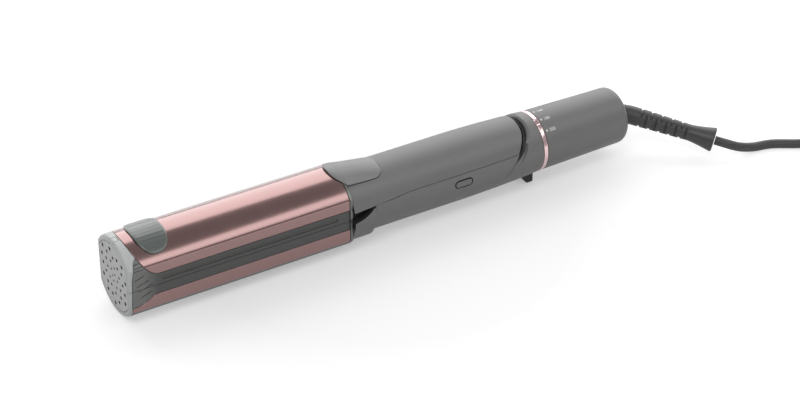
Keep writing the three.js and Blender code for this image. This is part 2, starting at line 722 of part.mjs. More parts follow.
// Hollow of a handle half, following its profile inside the wall.
function handleHollow(profile, rear) {
  const least = TONGUE_RADIUS + GAP;
  const inner = profile.filter(([x]) => x < rear).map(([x, r]) => [x, Math.max(r - HANDLE_WALL, least)]);
  const last = inner[inner.length - 1][1];
  const front = HANDLE_FRONT - 5;
  return turn([[front, 0], [front, inner[0][1]], ...inner, [rear, last], [rear, 0]], 48);
}

// Profile closed to the axis at both ends.
function closedProfile(profile) {
  return [[profile[0][0], 0], ...profile, [profile[profile.length - 1][0], 0]];
}

// Plan outline of the rounded rear end of the upper cover.
function tailOutline() {
  const outline = [[100, -30], [TAIL_CENTRE, -30]];
  for (let i = 0; i <= 32; i++) {
    const angle = -Math.PI / 2 + (Math.PI * i) / 32;
    const c = Math.abs(Math.cos(angle)) ** (2 / TAIL_POWER);
    const s = Math.sign(Math.sin(angle)) * Math.abs(Math.sin(angle)) ** (2 / TAIL_POWER);
    outline.push([TAIL_CENTRE + TAIL_REACH * c, (TAIL_HALF + 1.6) * s]);
  }
  outline.push([TAIL_CENTRE, 30], [100, 30]);
  return outline;
}

function upperCover() {
  const seam = SEAM_CURVE.slice(0, -1).map(([x, z]) => [x, z + SPLIT]);
  const front = [[HANDLE_FRONT - 5, WEDGE_TOP], [SEAM_CURVE[0][0], WEDGE_TOP]];
  const rear = COLLAR_EDGE.map(([x, z]) => [x - COLLAR_SLACK, z]);
  const corner = [rear[0][0] - 1, seam[3][1]];
  const outline = [...front, ...smooth(seam.slice(1), 10), corner, ...rear, [100, 25]];
  let cover = turn(closedProfile(UPPER_PROFILE), LATHE_STEPS);
  cover = cover.intersect(planCut(tailOutline(), -30, 30)).intersect(sideCut(outline));
  cover = cover.subtract(handleHollow(UPPER_PROFILE, HINGE_X - 6));
  const cheeks = [-1, 1].map((side) => {
    const y0 = Math.min(side * KNUCKLE_INNER, side * KNUCKLE_OUTER);
    const y1 = Math.max(side * KNUCKLE_INNER, side * KNUCKLE_OUTER);
    const eye = crossBar(HINGE_X, HINGE_Z, KNUCKLE_RADIUS, y0, y1);
    return eye.add(box(HINGE_X - KNUCKLE_RADIUS, HINGE_X + 1.5, y0, y1, HINGE_Z, HINGE_Z + 7));
  });
  cover = cover.subtract(box(HINGE_X - 7, HINGE_X + 4.2, -KNUCKLE_INNER, KNUCKLE_INNER, 0, HINGE_Z + 8));
  cover = cover.add(cheeks[0]).add(cheeks[1]);
  cover = cover.subtract(crossBar(HINGE_X, HINGE_Z, PIN_RADIUS + GAP, -20, 20));
  return cover.subtract(thumbPad(GAP));
}

// Wedge cutter that gives the collar its slanted face, on one side.
function collarBevel(side) {
  const rings = BEVEL_INNER.map(([degrees, x], i) => {
    const angle = (degrees * Math.PI) / 180;
    const at = (station, radius) => [station, side * radius * Math.cos(angle), radius * Math.sin(angle)];
    const skin = along(LOWER_PROFILE, x);
    const reach = BEVEL_REACH[i];
    const depth = BEVEL_DEPTH[i];
    const rim = x + reach + reach / depth;
    return [at(x - 1.2, skin - depth), at(x, skin - depth), at(rim, skin + 1), at(x - 1.2, skin + 1)];
  });
  const past = rings[0].map(([x, , z]) => [x, -side * 0.2, z]);
  return loft([past, ...rings.slice(1)]);
}

// Shallow groove that fades out below the seam, on one side.
function crescentGroove(side) {
  const route = CRESCENT.map(([x, z]) => {
    const r = along(LOWER_PROFILE, x);
    return [x, side * Math.sqrt(r * r - z * z), z];
  });
  const table = CRESCENT.map(([, , r], i) => [i, r]);
  const span = curveThrough(route).getLength() / (CRESCENT.length - 1);
  return tubeAlong(route, 14, 12, (s) => along(table, s / span));
}

// Room inside the lower housing for the fan, board, hinge, lock and wires.
function housingRooms() {
  const fan = bar(TONGUE_REAR - 4, DUCT_REAR + GAP, FAN_BORE, 0, FAN_Z, 40);
  const fanTop = box(TONGUE_REAR - 4, DUCT_REAR + GAP, -FAN_BORE, FAN_BORE, FAN_Z, 20);
  const board = box(BOARD_FRONT - 2.5, BOARD_REAR + 3, -POCKET_HALF, POCKET_HALF, POCKET_FLOOR, 20);
  const link = box(DUCT_REAR - 1, BOARD_FRONT, -5, 5, FAN_Z - 3, 20);
  const side = SWITCH_LENGTH / 2 + 0.5;
  const contact = box(BUTTON_X - side, BUTTON_X + side, BUTTON_BACK + 0.5, -10, BOARD_Z + 1, 20);
  const hinge = box(HINGE_X - 8, HINGE_X + 5.2, -HINGE_ROOM, HINGE_ROOM, -3, 20).subtract(
    sideCut([[HINGE_X + 3, -5], [HINGE_X + 9, -5], [HINGE_X + 9, 8.5], [HINGE_X + 4.6, 8.5]]),
  );
  const pin = crossBar(HINGE_X, HINGE_Z, PIN_RADIUS + GAP, -PIN_HALF - GAP, PIN_HALF + GAP);
  const wires = bar(HINGE_X, 250, SPINDLE_BORE, 0, -5, 24).subtract(box(236, 260, -20, 20, -40, -4.9));
  const slot = box(LOCK_FRONT - LOCK_TRAVEL + 1.2, 240, -LOCK_NECK - GAP, LOCK_NECK + GAP, -30, -12);
  const run = LOCK_FRONT - LOCK_TRAVEL - 0.6;
  const wing = LOCK_KEEPER + GAP;
  const keeper = box(run, LOCK_REAR - 1.1, -wing, wing, KEEPER_LOW - GAP, KEEPER_HIGH + GAP);
  return [fan, fanTop, board, link, contact, hinge, pin, wires, slot, keeper];
}

function lowerHousing() {
  const seam = smooth(SEAM_CURVE.slice(0, -1), 12).map(([x, z]) => [x, z - SPLIT]);
  const outline = [
    ...smooth(WEDGE_CURVE, 8), ...seam, [SEAM_CURVE[4][0], SEAM_CURVE[4][1] - SPLIT],
    ...COLLAR_EDGE, [HANDLE_FRONT - 1, 25],
  ];
  let housing = turn(closedProfile(LOWER_PROFILE)).subtract(sideCut(outline));
  const front = bar(HANDLE_FRONT - 5, TONGUE_REAR + GAP, TONGUE_RADIUS + GAP, 0, 0, 48);
  housing = housing.subtract(front);
  for (const room of housingRooms()) housing = housing.subtract(room);
  for (const side of [-1, 1]) {
    housing = housing.subtract(collarBevel(side)).subtract(crescentGroove(side));
  }
  housing = housing.subtract(pill(GAP, BUTTON_FACE - 5, POCKET_FLOOR));
  return housing.subtract(pill(GAP + BUTTON_FLANGE, BUTTON_SEAT, BUTTON_SEAT_BACK));
}

// Upright pill shape through the near wall, for the button and its seat.
function pill(grow, y0, y1) {
  const radius = BUTTON_HEIGHT / 2;
  const run = BUTTON_LENGTH / 2 - radius;
  const outline = pillOutline(BUTTON_X - run, BUTTON_X + run, BUTTON_Z, radius + grow);
  return sideCut(outline).intersect(box(BUTTON_X - 20, BUTTON_X + 20, y0, y1, -20, 20));
}

function powerButton() {
  const flange = pill(BUTTON_FLANGE, BUTTON_SEAT + GAP, BUTTON_BACK);
  return pill(0, BUTTON_FACE, BUTTON_BACK).add(flange);
}

function buttonSwitch() {
  const y0 = BUTTON_BACK + BUTTON_TRAVEL + GAP;
  const half = SWITCH_LENGTH / 2;
  const top = BOARD_Z + BOARD_THICK + GAP;
  return box(BUTTON_X - half, BUTTON_X + half, y0, y0 + SWITCH_DEPTH, top, BUTTON_Z + 2);
}

function hingePin() {
  return crossBar(HINGE_X, HINGE_Z, PIN_RADIUS, -PIN_HALF, PIN_HALF);
}

// Wound spring round the pin between the knuckles, which pushes the arms apart.
function armSpring() {
  const route = [];
  const span = KNUCKLE_INNER - SPRING_WIRE - GAP;
  const steps = SPRING_TURNS * SPRING_STEPS;
  for (let i = 0; i <= steps; i++) {
    const angle = (2 * Math.PI * SPRING_TURNS * i) / steps;
    const y = -span + (2 * span * i) / steps;
    route.push([HINGE_X + SPRING_RADIUS * Math.cos(angle), y, HINGE_Z + SPRING_RADIUS * Math.sin(angle)]);
  }
  return roundTube(route, steps, SPRING_SIDES, SPRING_WIRE).solid;
}

function fanDuct() {
  const tube = turn([
    [DUCT_FRONT, DUCT_INNER], [DUCT_FRONT, DUCT_OUTER], [DUCT_REAR, DUCT_OUTER], [DUCT_REAR, DUCT_INNER],
  ], 28);
  const x0 = FAN_FRONT + FAN_LENGTH + 2;
  const collar = turn([
    [x0, MOTOR_RADIUS + GAP], [x0, MOTOR_RADIUS + 1.2], [x0 + SPIDER_LENGTH, MOTOR_RADIUS + 1.2],
    [x0 + SPIDER_LENGTH, MOTOR_RADIUS + GAP],
  ], 28);
  let duct = tube.add(collar);
  const arm = new THREE.BoxGeometry(SPIDER_LENGTH, 1.4, 2.2);
  arm.translate(x0 + SPIDER_LENGTH / 2, 0, MOTOR_RADIUS + 1.6);
  for (let k = 0; k < 4; k++) duct = duct.add(solidOf(arm).rotate([45 + 90 * k, 0, 0]));
  return duct.translate([0, 0, FAN_Z]);
}

function fanImpeller() {
  const x1 = FAN_FRONT + FAN_LENGTH;
  let fan = bar(FAN_FRONT, x1, HUB_RADIUS, 0, 0, 20);
  for (let k = 0; k < BLADES; k++) {
    const blade = new THREE.BoxGeometry(FAN_LENGTH - 0.6, 0.8, FAN_RADIUS - HUB_RADIUS + 0.6);
    blade.rotateZ(0.6).translate((FAN_FRONT + x1) / 2, 0, (FAN_RADIUS + HUB_RADIUS) / 2 - 0.3);
    fan = fan.add(solidOf(blade).rotate([(360 * k) / BLADES, 0, 0]));
  }
  fan = fan.subtract(bar(FAN_FRONT + 2, x1 + 1, SHAFT_RADIUS + GAP, 0, 0, 12));
  return fan.translate([0, 0, FAN_Z]);
}

function fanMotor() {
  const x0 = FAN_FRONT + FAN_LENGTH + 1;
  const shaft = bar(FAN_FRONT + 2 + GAP, x0 + 1, SHAFT_RADIUS, 0, 0, 12);
  return bar(x0, x0 + MOTOR_LENGTH, MOTOR_RADIUS, 0, 0, 32).add(shaft).translate([0, 0, FAN_Z]);
}

function circuitBoard() {
  let board = box(BOARD_FRONT, BOARD_REAR, -BOARD_HALF, BOARD_HALF, BOARD_Z, BOARD_Z + BOARD_THICK);
  const parts = [[197, 201, -3, 3, 4], [204, 210, -7, -2, 5], [203, 209, 2, 7, 3], [182, 184.4, -6, 6, 2.4]];
  const top = BOARD_Z + BOARD_THICK;
  for (const [x0, x1, y0, y1, h] of parts) board = board.add(box(x0, x1, y0, y1, BOARD_Z + 1, top + h));
  const foot = (x, y) => box(x - 1, x + 1, y - 1, y + 1, POCKET_FLOOR + GAP, BOARD_Z + 0.5);
  for (const x of [BOARD_FRONT + 2, BOARD_REAR - 2]) board = board.add(foot(x, -8)).add(foot(x, 8));
  return board;
}

function accentRing() {
  const bore = SPINDLE_RADIUS + GAP;
  const ring = turn([
    [RING_FRONT, bore], [RING_FRONT, RING_RADIUS], [RING_REAR, RING_RADIUS], [RING_REAR, bore],
  ]);
  const notch = new THREE.BoxGeometry(2 * NOTCH_WIDTH, NOTCH_ARC, 2 * NOTCH_DEPTH);
  const cutter = solidOf(notch.translate(RING_FRONT, 0, RING_RADIUS));
  return ring.subtract(cutter.rotate([90 - NOTCH_ANGLE, 0, 0]));
}

// Fixed hollow stem that carries the ring and dial and ends in the cord swivel.
function dialSpindle() {
  const front = LOWER_PROFILE[LOWER_PROFILE.length - 1][0] + GAP;
  return turn([
    [front, SPINDLE_BORE], [front, SPINDLE_RADIUS],
    [SPINDLE_REAR - SPINDLE_END_THICK, SPINDLE_RADIUS],
    [SPINDLE_REAR - SPINDLE_END_THICK, SPINDLE_END_RADIUS],
    [SPINDLE_REAR, SPINDLE_END_RADIUS], [SPINDLE_REAR, SPINDLE_BORE],
  ]);
}

function temperatureDial() {
  const rear = BODY_LENGTH;
  const bore = SPINDLE_RADIUS + GAP;
  const outer = [];
  for (let i = 0; i <= 5; i++) {
    const angle = (Math.PI / 2) * (i / 5);
    const inset = DIAL_ROUND * (1 - Math.cos(angle));
    outer.push([rear - DIAL_ROUND + DIAL_ROUND * Math.sin(angle), DIAL_REAR_RADIUS - inset]);
  }
  const wall = rear - DIAL_END_WALL;
  return turn([
    [DIAL_FRONT, bore], [DIAL_FRONT, DIAL_FRONT_RADIUS - 0.3], [DIAL_FRONT + 0.3, DIAL_FRONT_RADIUS],
    ...DIAL_MIDDLE, ...outer, [rear, SPINDLE_END_RADIUS + GAP], [wall, SPINDLE_END_RADIUS + GAP],
    [wall - 3, DIAL_REAR_RADIUS - DIAL_WALL - 0.6], [252, DIAL_FRONT_RADIUS - DIAL_WALL - 0.4],
    [250, bore + 2], [250, bore],
  ]);
}

// Wafer of the rotary switch inside the dial.
function dialSwitch() {
  const bore = SPINDLE_RADIUS + GAP;
  return turn([[252.6, bore], [252.6, 12.6], [255.6, 12.6], [255.6, bore]], 36);
}

function lockSlider() {
  const shoe = [
    [LOCK_FRONT, -15], [LOCK_FRONT, -17.2], [LOCK_FRONT + 2.6, -AXIS_HEIGHT + 0.4],
    [LOCK_FRONT + 3.2, -AXIS_HEIGHT], [LOCK_REAR - 0.5, -AXIS_HEIGHT],
    [LOCK_REAR, -AXIS_HEIGHT + 0.5], [LOCK_REAR, -15],
  ];
  const clear = LOWER_PROFILE.map(([x, r]) => [x, r + LOCK_CLEAR]);
  clear[clear.length - 1][0] = LOCK_REAR + 5;
  let slider = sideCut(shoe, LOCK_HALF).subtract(turn(closedProfile(clear)));
  slider = slider.add(box(LOCK_FRONT + 2, LOCK_REAR - 1.6, -LOCK_NECK, LOCK_NECK, -18, -12));
  const keeper = box(LOCK_FRONT + 1, LOCK_REAR - 1.5, -LOCK_KEEPER, LOCK_KEEPER, KEEPER_LOW, KEEPER_HIGH);
  return slider.add(keeper);
}

// Radius of the strain relief between its slots, at an arc length from its inner end.
function reliefRadius(s, length) {
  const flare = (s - length + RELIEF_FLARE_LENGTH) / RELIEF_FLARE_LENGTH;
  if (flare > 0) return RELIEF_WAIST + (RELIEF_FLARE_RADIUS - RELIEF_WAIST) * flare ** 1.4;
  const slots = RELIEF_SLOT_START + RELIEF_SLOTS * RELIEF_SLOT_PITCH;
  return along([[RELIEF_SLOT_START, RELIEF_NECK], [slots, RELIEF_WAIST]], s);
}

// Stations of the rings: arc length, and 0 for a full ring, 1 for one slotted over and under, 2 beside.
function reliefStations(length) {
  const stations = [0, 8, 15.4, 18, 21, 24, 27].map((s) => [s, 0]);
  for (let k = 0; k < RELIEF_SLOTS; k++) {
    const s = RELIEF_SLOT_START + RELIEF_SLOT_PITCH * k;
    const kind = 1 + (k % 2);
    stations.push([s, 0], [s + 0.1, kind], [s + RELIEF_SLOT_WIDTH - 0.1, kind], [s + RELIEF_SLOT_WIDTH, 0]);
  }
  for (const back of [14, 10, 6, 3, 0]) stations.push([length - back, 0]);
  return stations;
}

// Bent and flared rubber sleeve with crosswise slots.
function strainRelief() {
  const curve = curveThrough(RELIEF_ROUTE);
  const length = curve.getLength();
  const rings = reliefStations(length).map(([s, kind]) => {
    const centre = curve.getPointAt(Math.min(1, s / length));
    const ahead = curve.getTangentAt(Math.min(1, s / length));
    const side = new THREE.Vector3(0, 0, 1).cross(ahead).normalize();
    const up = ahead.clone().cross(side);
    const ring = [];
    for (let j = 0; j < RELIEF_SIDES; j++) {
      const angle = (2 * Math.PI * j) / RELIEF_SIDES;
      const facing = kind === 1 ? Math.abs(Math.sin(angle)) : Math.abs(Math.cos(angle));
      const depth = kind > 0 && facing > 0.6 ? RELIEF_SLOT_DEPTH : 0;
      const radius = reliefRadius(s, length) - depth;
      const p = centre.clone().addScaledVector(side, radius * Math.cos(angle));
      p.addScaledVector(up, radius * Math.sin(angle));
      ring.push([p.x, p.y, p.z]);
    }
    return ring;
  });
  return loft(rings);
}

// Point of the coil's middle line after a number of turns.
function coilPoint(turns) {
  const layer = Math.min(COIL_LAYERS - 1, Math.floor(turns / COIL_LAYER_TURNS));
  const share = (turns - layer * COIL_LAYER_TURNS) / COIL_LAYER_TURNS;
  const inward = layer % 2 === 0 ? share : 1 - share;
  const radius = COIL_OUTER + (COIL_INNER - COIL_OUTER) * inward;
  let level = 0;
  for (let k = 1; k < COIL_LAYERS; k++) {
    const t = THREE.MathUtils.clamp((turns - k * COIL_LAYER_TURNS) / 0.5 + 0.5, 0, 1);
    level += t * t * (3 - 2 * t);
  }
  const angle = (COIL_START_ANGLE * Math.PI) / 180 + 2 * Math.PI * turns;
  const z = CORD_DIAMETER / 2 + COIL_LIFT + COIL_RISE * level - AXIS_HEIGHT;
  return [COIL_X + radius * Math.cos(angle), COIL_Y + radius * Math.sin(angle), z];
}

// Direction of the coil at one of its ends.
function coilHeading(turns, step) {
  const a = new THREE.Vector3(...coilPoint(turns));
  const b = new THREE.Vector3(...coilPoint(turns + step));
  return b.sub(a).normalize();
}

// Coil as one tube of rings along the spiral, with a straight run of one diameter at both ends.
function cordCoil() {
  const total = COIL_LAYERS * COIL_LAYER_TURNS;
  const count = Math.round(total * COIL_STEPS);
  const points = [];
  for (let i = 0; i <= count; i++) points.push(new THREE.Vector3(...coilPoint((total * i) / count)));
  const start = coilHeading(0, 0.001);
  const end = coilHeading(total, -0.001);
  points.unshift(points[0].clone().addScaledVector(start, -CORD_DIAMETER));
  points.push(points[points.length - 1].clone().addScaledVector(end, -CORD_DIAMETER));
  const rings = points.map((p, i) => {
    const before = points[Math.max(0, i - 1)];
    const after = points[Math.min(points.length - 1, i + 1)];
    const ahead = after.clone().sub(before).normalize();
    const side = new THREE.Vector3(0, 0, 1).cross(ahead).normalize();
    const up = ahead.clone().cross(side);
    const ring = [];
    for (let j = 0; j < COIL_SIDES; j++) {
      const angle = (2 * Math.PI * (j + 0.5)) / COIL_SIDES;
      const q = p.clone().addScaledVector(side, (CORD_DIAMETER / 2) * Math.cos(angle));
      q.addScaledVector(up, (CORD_DIAMETER / 2) * Math.sin(angle));
      ring.push([q.x, q.y, q.z]);
    }
    return ring;
  });
  let least = Infinity;
  for (let i = 0; i < points.length; i++) {
    for (let j = i + 12; j < points.length; j++) least = Math.min(least, points[i].distanceTo(points[j]));
  }
  let length = 0;
  for (let i = 1; i < points.length; i++) length += points[i].distanceTo(points[i - 1]);
  console.log(`coil: least gap ${(least - CORD_DIAMETER).toFixed(2)} mm, length ${length.toFixed(0)} mm`);
  return { solid: loft(rings), points, length };
}

// Strap round the bundle, its loop a rounded rectangle in the plane across the coil.
function cordTie() {
  const reach = CORD_DIAMETER / 2 + GAP;
  const r0 = COIL_INNER - reach;
  const r1 = COIL_OUTER + reach;
  const z0 = COIL_LIFT - GAP;
  const z1 = COIL_LIFT + CORD_DIAMETER + COIL_RISE * (COIL_LAYERS - 1) + GAP;
  const corner = 2.2;
  const rings = [];
  const corners = [[r1, z1, 0], [r0, z1, 90], [r0, z0, 180], [r1, z0, 270]];
  for (const [r, z, base] of corners) {
    const cx = r === r1 ? r - corner : r + corner;
    const cz = z === z1 ? z - corner : z + corner;
    for (let i = 0; i <= 4; i++) {
      const angle = ((base + (90 * i) / 4) * Math.PI) / 180;
      const at = (radius, y) => [cx + radius * Math.cos(angle), y, cz + radius * Math.sin(angle)];
      const outer = corner + TIE_THICK;
      const w = TIE_WIDTH / 2;
      rings.push([at(corner, -w), at(outer, -w), at(outer, w), at(corner, w)]);
    }
  }
  const points = rings.flat();
  const triangles = [];
  for (let i = 0; i < rings.length; i++) {
    const next = (i + 1) % rings.length;
    for (let j = 0; j < 4; j++) {
      const k = (j + 1) % 4;
      triangles.push(4 * i + j, 4 * i + k, 4 * next + j, 4 * i + k, 4 * next + k, 4 * next + j);
    }
  }
  const loop = solidOf(meshOf(points, triangles)).rotate([0, 0, TIE_ANGLE]);
  return loop.translate([COIL_X, COIL_Y, -AXIS_HEIGHT]);
}

// Lead from the strain relief to the coil.
function cordLead(coil) {
  const start = coil.points[0];
  const heading = coilHeading(0, 0.001);
  const meet = start.clone().addScaledVector(heading, -GAP);
  const before = meet.clone().addScaledVector(heading, -CORD_DIAMETER);
  const route = [...CORD_ROUTE, [before.x, before.y, before.z], [meet.x, meet.y, meet.z]];
  return roundTube(route, CORD_STEPS, CORD_SIDES, CORD_DIAMETER / 2);
}

// Plug frame: where it lies and which way its pins point.
function plugPlace(coil) {
  const last = coil.points[coil.points.length - 1];
  return { x: last.x + PLUG_ASIDE, y: last.y + PLUG_AHEAD, z: PLUG_HEIGHT / 2 - AXIS_HEIGHT };
}

function cordTail(coil) {
  const last = coil.points[coil.points.length - 1];
  const heading = coilHeading(COIL_LAYERS * COIL_LAYER_TURNS, -0.001).negate();
  const from = last.clone().addScaledVector(heading, GAP);
  const straight = last.clone().addScaledVector(heading, CORD_DIAMETER + GAP);
  const plug = plugPlace(coil);
  const route = [
    [from.x, from.y, from.z], [straight.x, straight.y, straight.z],
    ...TAIL_BEND.map(([x, y, z]) => [plug.x + x, plug.y + y, plug.z + z]),
    [plug.x, plug.y - GAP - CORD_DIAMETER, plug.z], [plug.x, plug.y - GAP, plug.z],
  ];
  return roundTube(route, TAIL_STEPS, CORD_SIDES, CORD_DIAMETER / 2);
}

// Two-pin plug body lying flat, its cord end narrower.
function plugBody(coil) {
  const at = plugPlace(coil);
  const section = (y, w, h) => {
    const ring = [];
    for (let i = 0; i < 20; i++) {
      const angle = (2 * Math.PI * (i + 0.5)) / 20;
      const c = Math.sign(Math.cos(angle)) * Math.abs(Math.cos(angle)) ** PLUG_SQUARE;
      const s = Math.sign(Math.sin(angle)) * Math.abs(Math.sin(angle)) ** PLUG_SQUARE;
      ring.push([at.x + (w / 2) * c, at.y + y, at.z + (h / 2) * s]);
    }
    return ring;
  };
  return loft([
    section(0, PLUG_NECK, PLUG_NECK), section(PLUG_NOSE, PLUG_NECK + 0.8, PLUG_NECK + 0.8),
    section(PLUG_SHOULDER, PLUG_WIDTH - 6, PLUG_HEIGHT), section(PLUG_LENGTH, PLUG_WIDTH, PLUG_HEIGHT),
  ]);
}

function plugPin(coil, side) {
  const at = plugPlace(coil);
  const y0 = at.y + PLUG_LENGTH + GAP;
  return crossBar(at.x + side * PLUG_PIN_SPACING, at.z, PLUG_PIN_RADIUS, y0, y0 + PLUG_PIN_LENGTH, 16);
}

for (const upper of [false, true]) {
  const arm = upper ? "upper" : "lower";
  place(arm + "_barrel_skin", barrelSkin(upper), ROSE);
  place(arm + "_barrel_frame", barrelFrame(upper), DARK);
  place(arm + "_tip_cap", tipCap(upper), PALE);
  place(arm + "_barrel_trim", barrelTrim(upper), STEEL);
  place(arm + "_plate", plate(upper), STEEL);
  place(arm + "_heater", heater(upper), COPPER);
  place(arm + "_cushion_front", cushion(RIB_STATIONS[0], upper), SILICONE);
  place(arm + "_cushion_rear", cushion(RIB_STATIONS[1], upper), SILICONE);
}
place("tip_grille", tipGrille(), PALE);
place("finger_rest", fingerRest(), DARK);
place("thumb_pad", thumbPad(0), GREY);
place("upper_cover", upperCover(), GREY);
place("lower_housing", lowerHousing(), GREY);
place("hinge_pin", hingePin(), STEEL);
place("arm_spring", armSpring(), STEEL);
place("fan_duct", fanDuct(), DARK);
place("fan_impeller", fanImpeller(), PALE);
place("fan_motor", fanMotor(), STEEL);
place("circuit_board", circuitBoard(), GREEN);
place("power_button", powerButton(), GREY);
place("button_switch", buttonSwitch(), DARK);
place("accent_ring", accentRing(), ROSE);
place("dial_spindle", dialSpindle(), DARK);
place("temperature_dial", temperatureDial(), GREY);
place("dial_switch", dialSwitch(), DARK);
place("lock_slider", lockSlider(), DARK);
place("strain_relief", strainRelief(), RUBBER);

const coil = cordCoil();
const lead = cordLead(coil);
const tail = cordTail(coil);
console.log(`cord: lead ${lead.length.toFixed(0)} mm, tail ${tail.length.toFixed(0)} mm`);
place("cord_lead", lead.solid, RUBBER);
place("cord_coil", coil.solid, RUBBER);
place("cord_tail", tail.solid, RUBBER);
place("cord_tie", cordTie(), DARK);
place("plug_body", plugBody(coil), RUBBER);
place("plug_pin_left", plugPin(coil, -1), STEEL);
place("plug_pin_right", plugPin(coil, 1), STEEL);

export default group;
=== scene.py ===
"""Dress for a round hair straightener: a studio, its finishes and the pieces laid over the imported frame.

Shapes are written in millimetres as station from the tip, width and height from the long axis.
They are turned into the frame's metres at the last step.
"""

from __future__ import annotations

import json
import logging
import math
import sys
from dataclasses import dataclass, field, replace
from enum import Enum
from typing import Callable, Iterable

import bpy
import numpy as np
from mathutils import Matrix
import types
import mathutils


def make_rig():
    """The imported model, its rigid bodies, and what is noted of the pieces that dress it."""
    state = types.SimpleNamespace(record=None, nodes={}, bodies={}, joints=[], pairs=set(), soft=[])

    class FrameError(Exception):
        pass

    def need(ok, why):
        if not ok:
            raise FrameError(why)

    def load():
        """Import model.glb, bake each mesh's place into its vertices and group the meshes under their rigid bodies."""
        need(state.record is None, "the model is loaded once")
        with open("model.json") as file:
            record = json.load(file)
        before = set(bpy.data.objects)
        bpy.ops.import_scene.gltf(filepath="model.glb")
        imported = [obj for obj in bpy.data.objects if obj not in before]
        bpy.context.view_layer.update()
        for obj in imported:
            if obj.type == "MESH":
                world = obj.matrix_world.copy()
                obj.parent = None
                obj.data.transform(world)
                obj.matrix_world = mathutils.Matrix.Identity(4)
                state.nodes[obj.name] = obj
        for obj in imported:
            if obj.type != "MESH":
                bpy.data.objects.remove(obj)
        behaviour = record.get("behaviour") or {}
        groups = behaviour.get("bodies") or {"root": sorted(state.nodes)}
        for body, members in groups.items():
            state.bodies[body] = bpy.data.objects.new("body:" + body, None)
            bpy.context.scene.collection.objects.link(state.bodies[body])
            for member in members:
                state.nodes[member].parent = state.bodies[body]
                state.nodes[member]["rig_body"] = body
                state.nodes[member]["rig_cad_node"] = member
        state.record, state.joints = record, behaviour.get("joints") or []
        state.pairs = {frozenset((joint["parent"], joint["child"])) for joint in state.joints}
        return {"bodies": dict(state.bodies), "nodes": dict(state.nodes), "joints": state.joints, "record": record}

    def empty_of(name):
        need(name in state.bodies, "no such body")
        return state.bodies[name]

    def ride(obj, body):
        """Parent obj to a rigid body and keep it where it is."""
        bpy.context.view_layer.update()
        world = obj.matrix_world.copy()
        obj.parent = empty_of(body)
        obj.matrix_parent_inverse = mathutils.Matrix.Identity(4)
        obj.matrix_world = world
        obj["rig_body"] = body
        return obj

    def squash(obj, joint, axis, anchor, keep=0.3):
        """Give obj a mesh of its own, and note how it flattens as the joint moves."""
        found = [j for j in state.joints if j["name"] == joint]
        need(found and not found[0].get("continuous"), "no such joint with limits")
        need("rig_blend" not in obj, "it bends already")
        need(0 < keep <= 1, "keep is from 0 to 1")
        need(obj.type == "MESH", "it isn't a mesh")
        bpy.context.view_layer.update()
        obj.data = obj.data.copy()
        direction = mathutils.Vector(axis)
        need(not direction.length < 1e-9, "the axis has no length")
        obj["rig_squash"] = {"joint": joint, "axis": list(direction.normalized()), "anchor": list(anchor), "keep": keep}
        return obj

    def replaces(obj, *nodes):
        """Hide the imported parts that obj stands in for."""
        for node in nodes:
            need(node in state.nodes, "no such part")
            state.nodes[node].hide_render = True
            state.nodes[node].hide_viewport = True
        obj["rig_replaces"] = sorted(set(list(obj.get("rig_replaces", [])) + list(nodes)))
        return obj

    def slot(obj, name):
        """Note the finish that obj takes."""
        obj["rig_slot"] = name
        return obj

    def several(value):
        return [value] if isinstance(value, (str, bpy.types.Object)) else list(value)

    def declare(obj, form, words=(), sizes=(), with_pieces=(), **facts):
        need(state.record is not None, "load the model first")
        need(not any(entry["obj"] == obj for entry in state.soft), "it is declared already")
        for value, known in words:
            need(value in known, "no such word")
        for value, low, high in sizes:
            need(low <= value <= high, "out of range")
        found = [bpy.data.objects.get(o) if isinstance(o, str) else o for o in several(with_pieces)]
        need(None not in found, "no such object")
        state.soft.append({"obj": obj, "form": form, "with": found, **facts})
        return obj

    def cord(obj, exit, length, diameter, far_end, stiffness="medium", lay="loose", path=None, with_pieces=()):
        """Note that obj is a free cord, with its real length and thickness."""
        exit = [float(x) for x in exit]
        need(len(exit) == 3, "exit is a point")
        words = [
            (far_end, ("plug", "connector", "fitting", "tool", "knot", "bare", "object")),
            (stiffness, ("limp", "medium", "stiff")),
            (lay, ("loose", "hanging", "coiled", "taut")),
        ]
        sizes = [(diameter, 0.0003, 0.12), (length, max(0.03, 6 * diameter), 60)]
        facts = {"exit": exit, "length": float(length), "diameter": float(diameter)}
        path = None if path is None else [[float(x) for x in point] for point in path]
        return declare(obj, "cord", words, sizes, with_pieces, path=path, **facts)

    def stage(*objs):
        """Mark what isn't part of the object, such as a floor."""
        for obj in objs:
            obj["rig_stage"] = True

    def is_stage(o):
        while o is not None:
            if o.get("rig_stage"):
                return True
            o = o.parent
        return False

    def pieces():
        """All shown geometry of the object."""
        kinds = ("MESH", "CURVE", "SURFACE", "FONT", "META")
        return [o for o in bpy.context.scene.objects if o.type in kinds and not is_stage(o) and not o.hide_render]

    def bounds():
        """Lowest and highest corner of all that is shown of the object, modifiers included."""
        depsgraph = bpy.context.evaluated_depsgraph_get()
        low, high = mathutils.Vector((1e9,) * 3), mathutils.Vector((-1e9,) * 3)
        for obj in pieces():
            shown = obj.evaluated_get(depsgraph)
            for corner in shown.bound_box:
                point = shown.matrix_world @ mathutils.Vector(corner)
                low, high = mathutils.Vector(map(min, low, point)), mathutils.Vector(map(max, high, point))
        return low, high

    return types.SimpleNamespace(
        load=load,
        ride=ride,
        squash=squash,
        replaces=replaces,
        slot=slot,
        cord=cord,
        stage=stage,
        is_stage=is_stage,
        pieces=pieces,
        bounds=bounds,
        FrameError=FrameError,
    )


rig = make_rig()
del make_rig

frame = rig.load()
CAD_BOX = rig.bounds()
LOG = logging.getLogger("straightener")

Array = np.ndarray
Colour = tuple[float, float, float]
NormalField = Callable[[Array], tuple[Array, Array]]
Piece = bpy.types.Object
Socket = bpy.types.NodeSocket

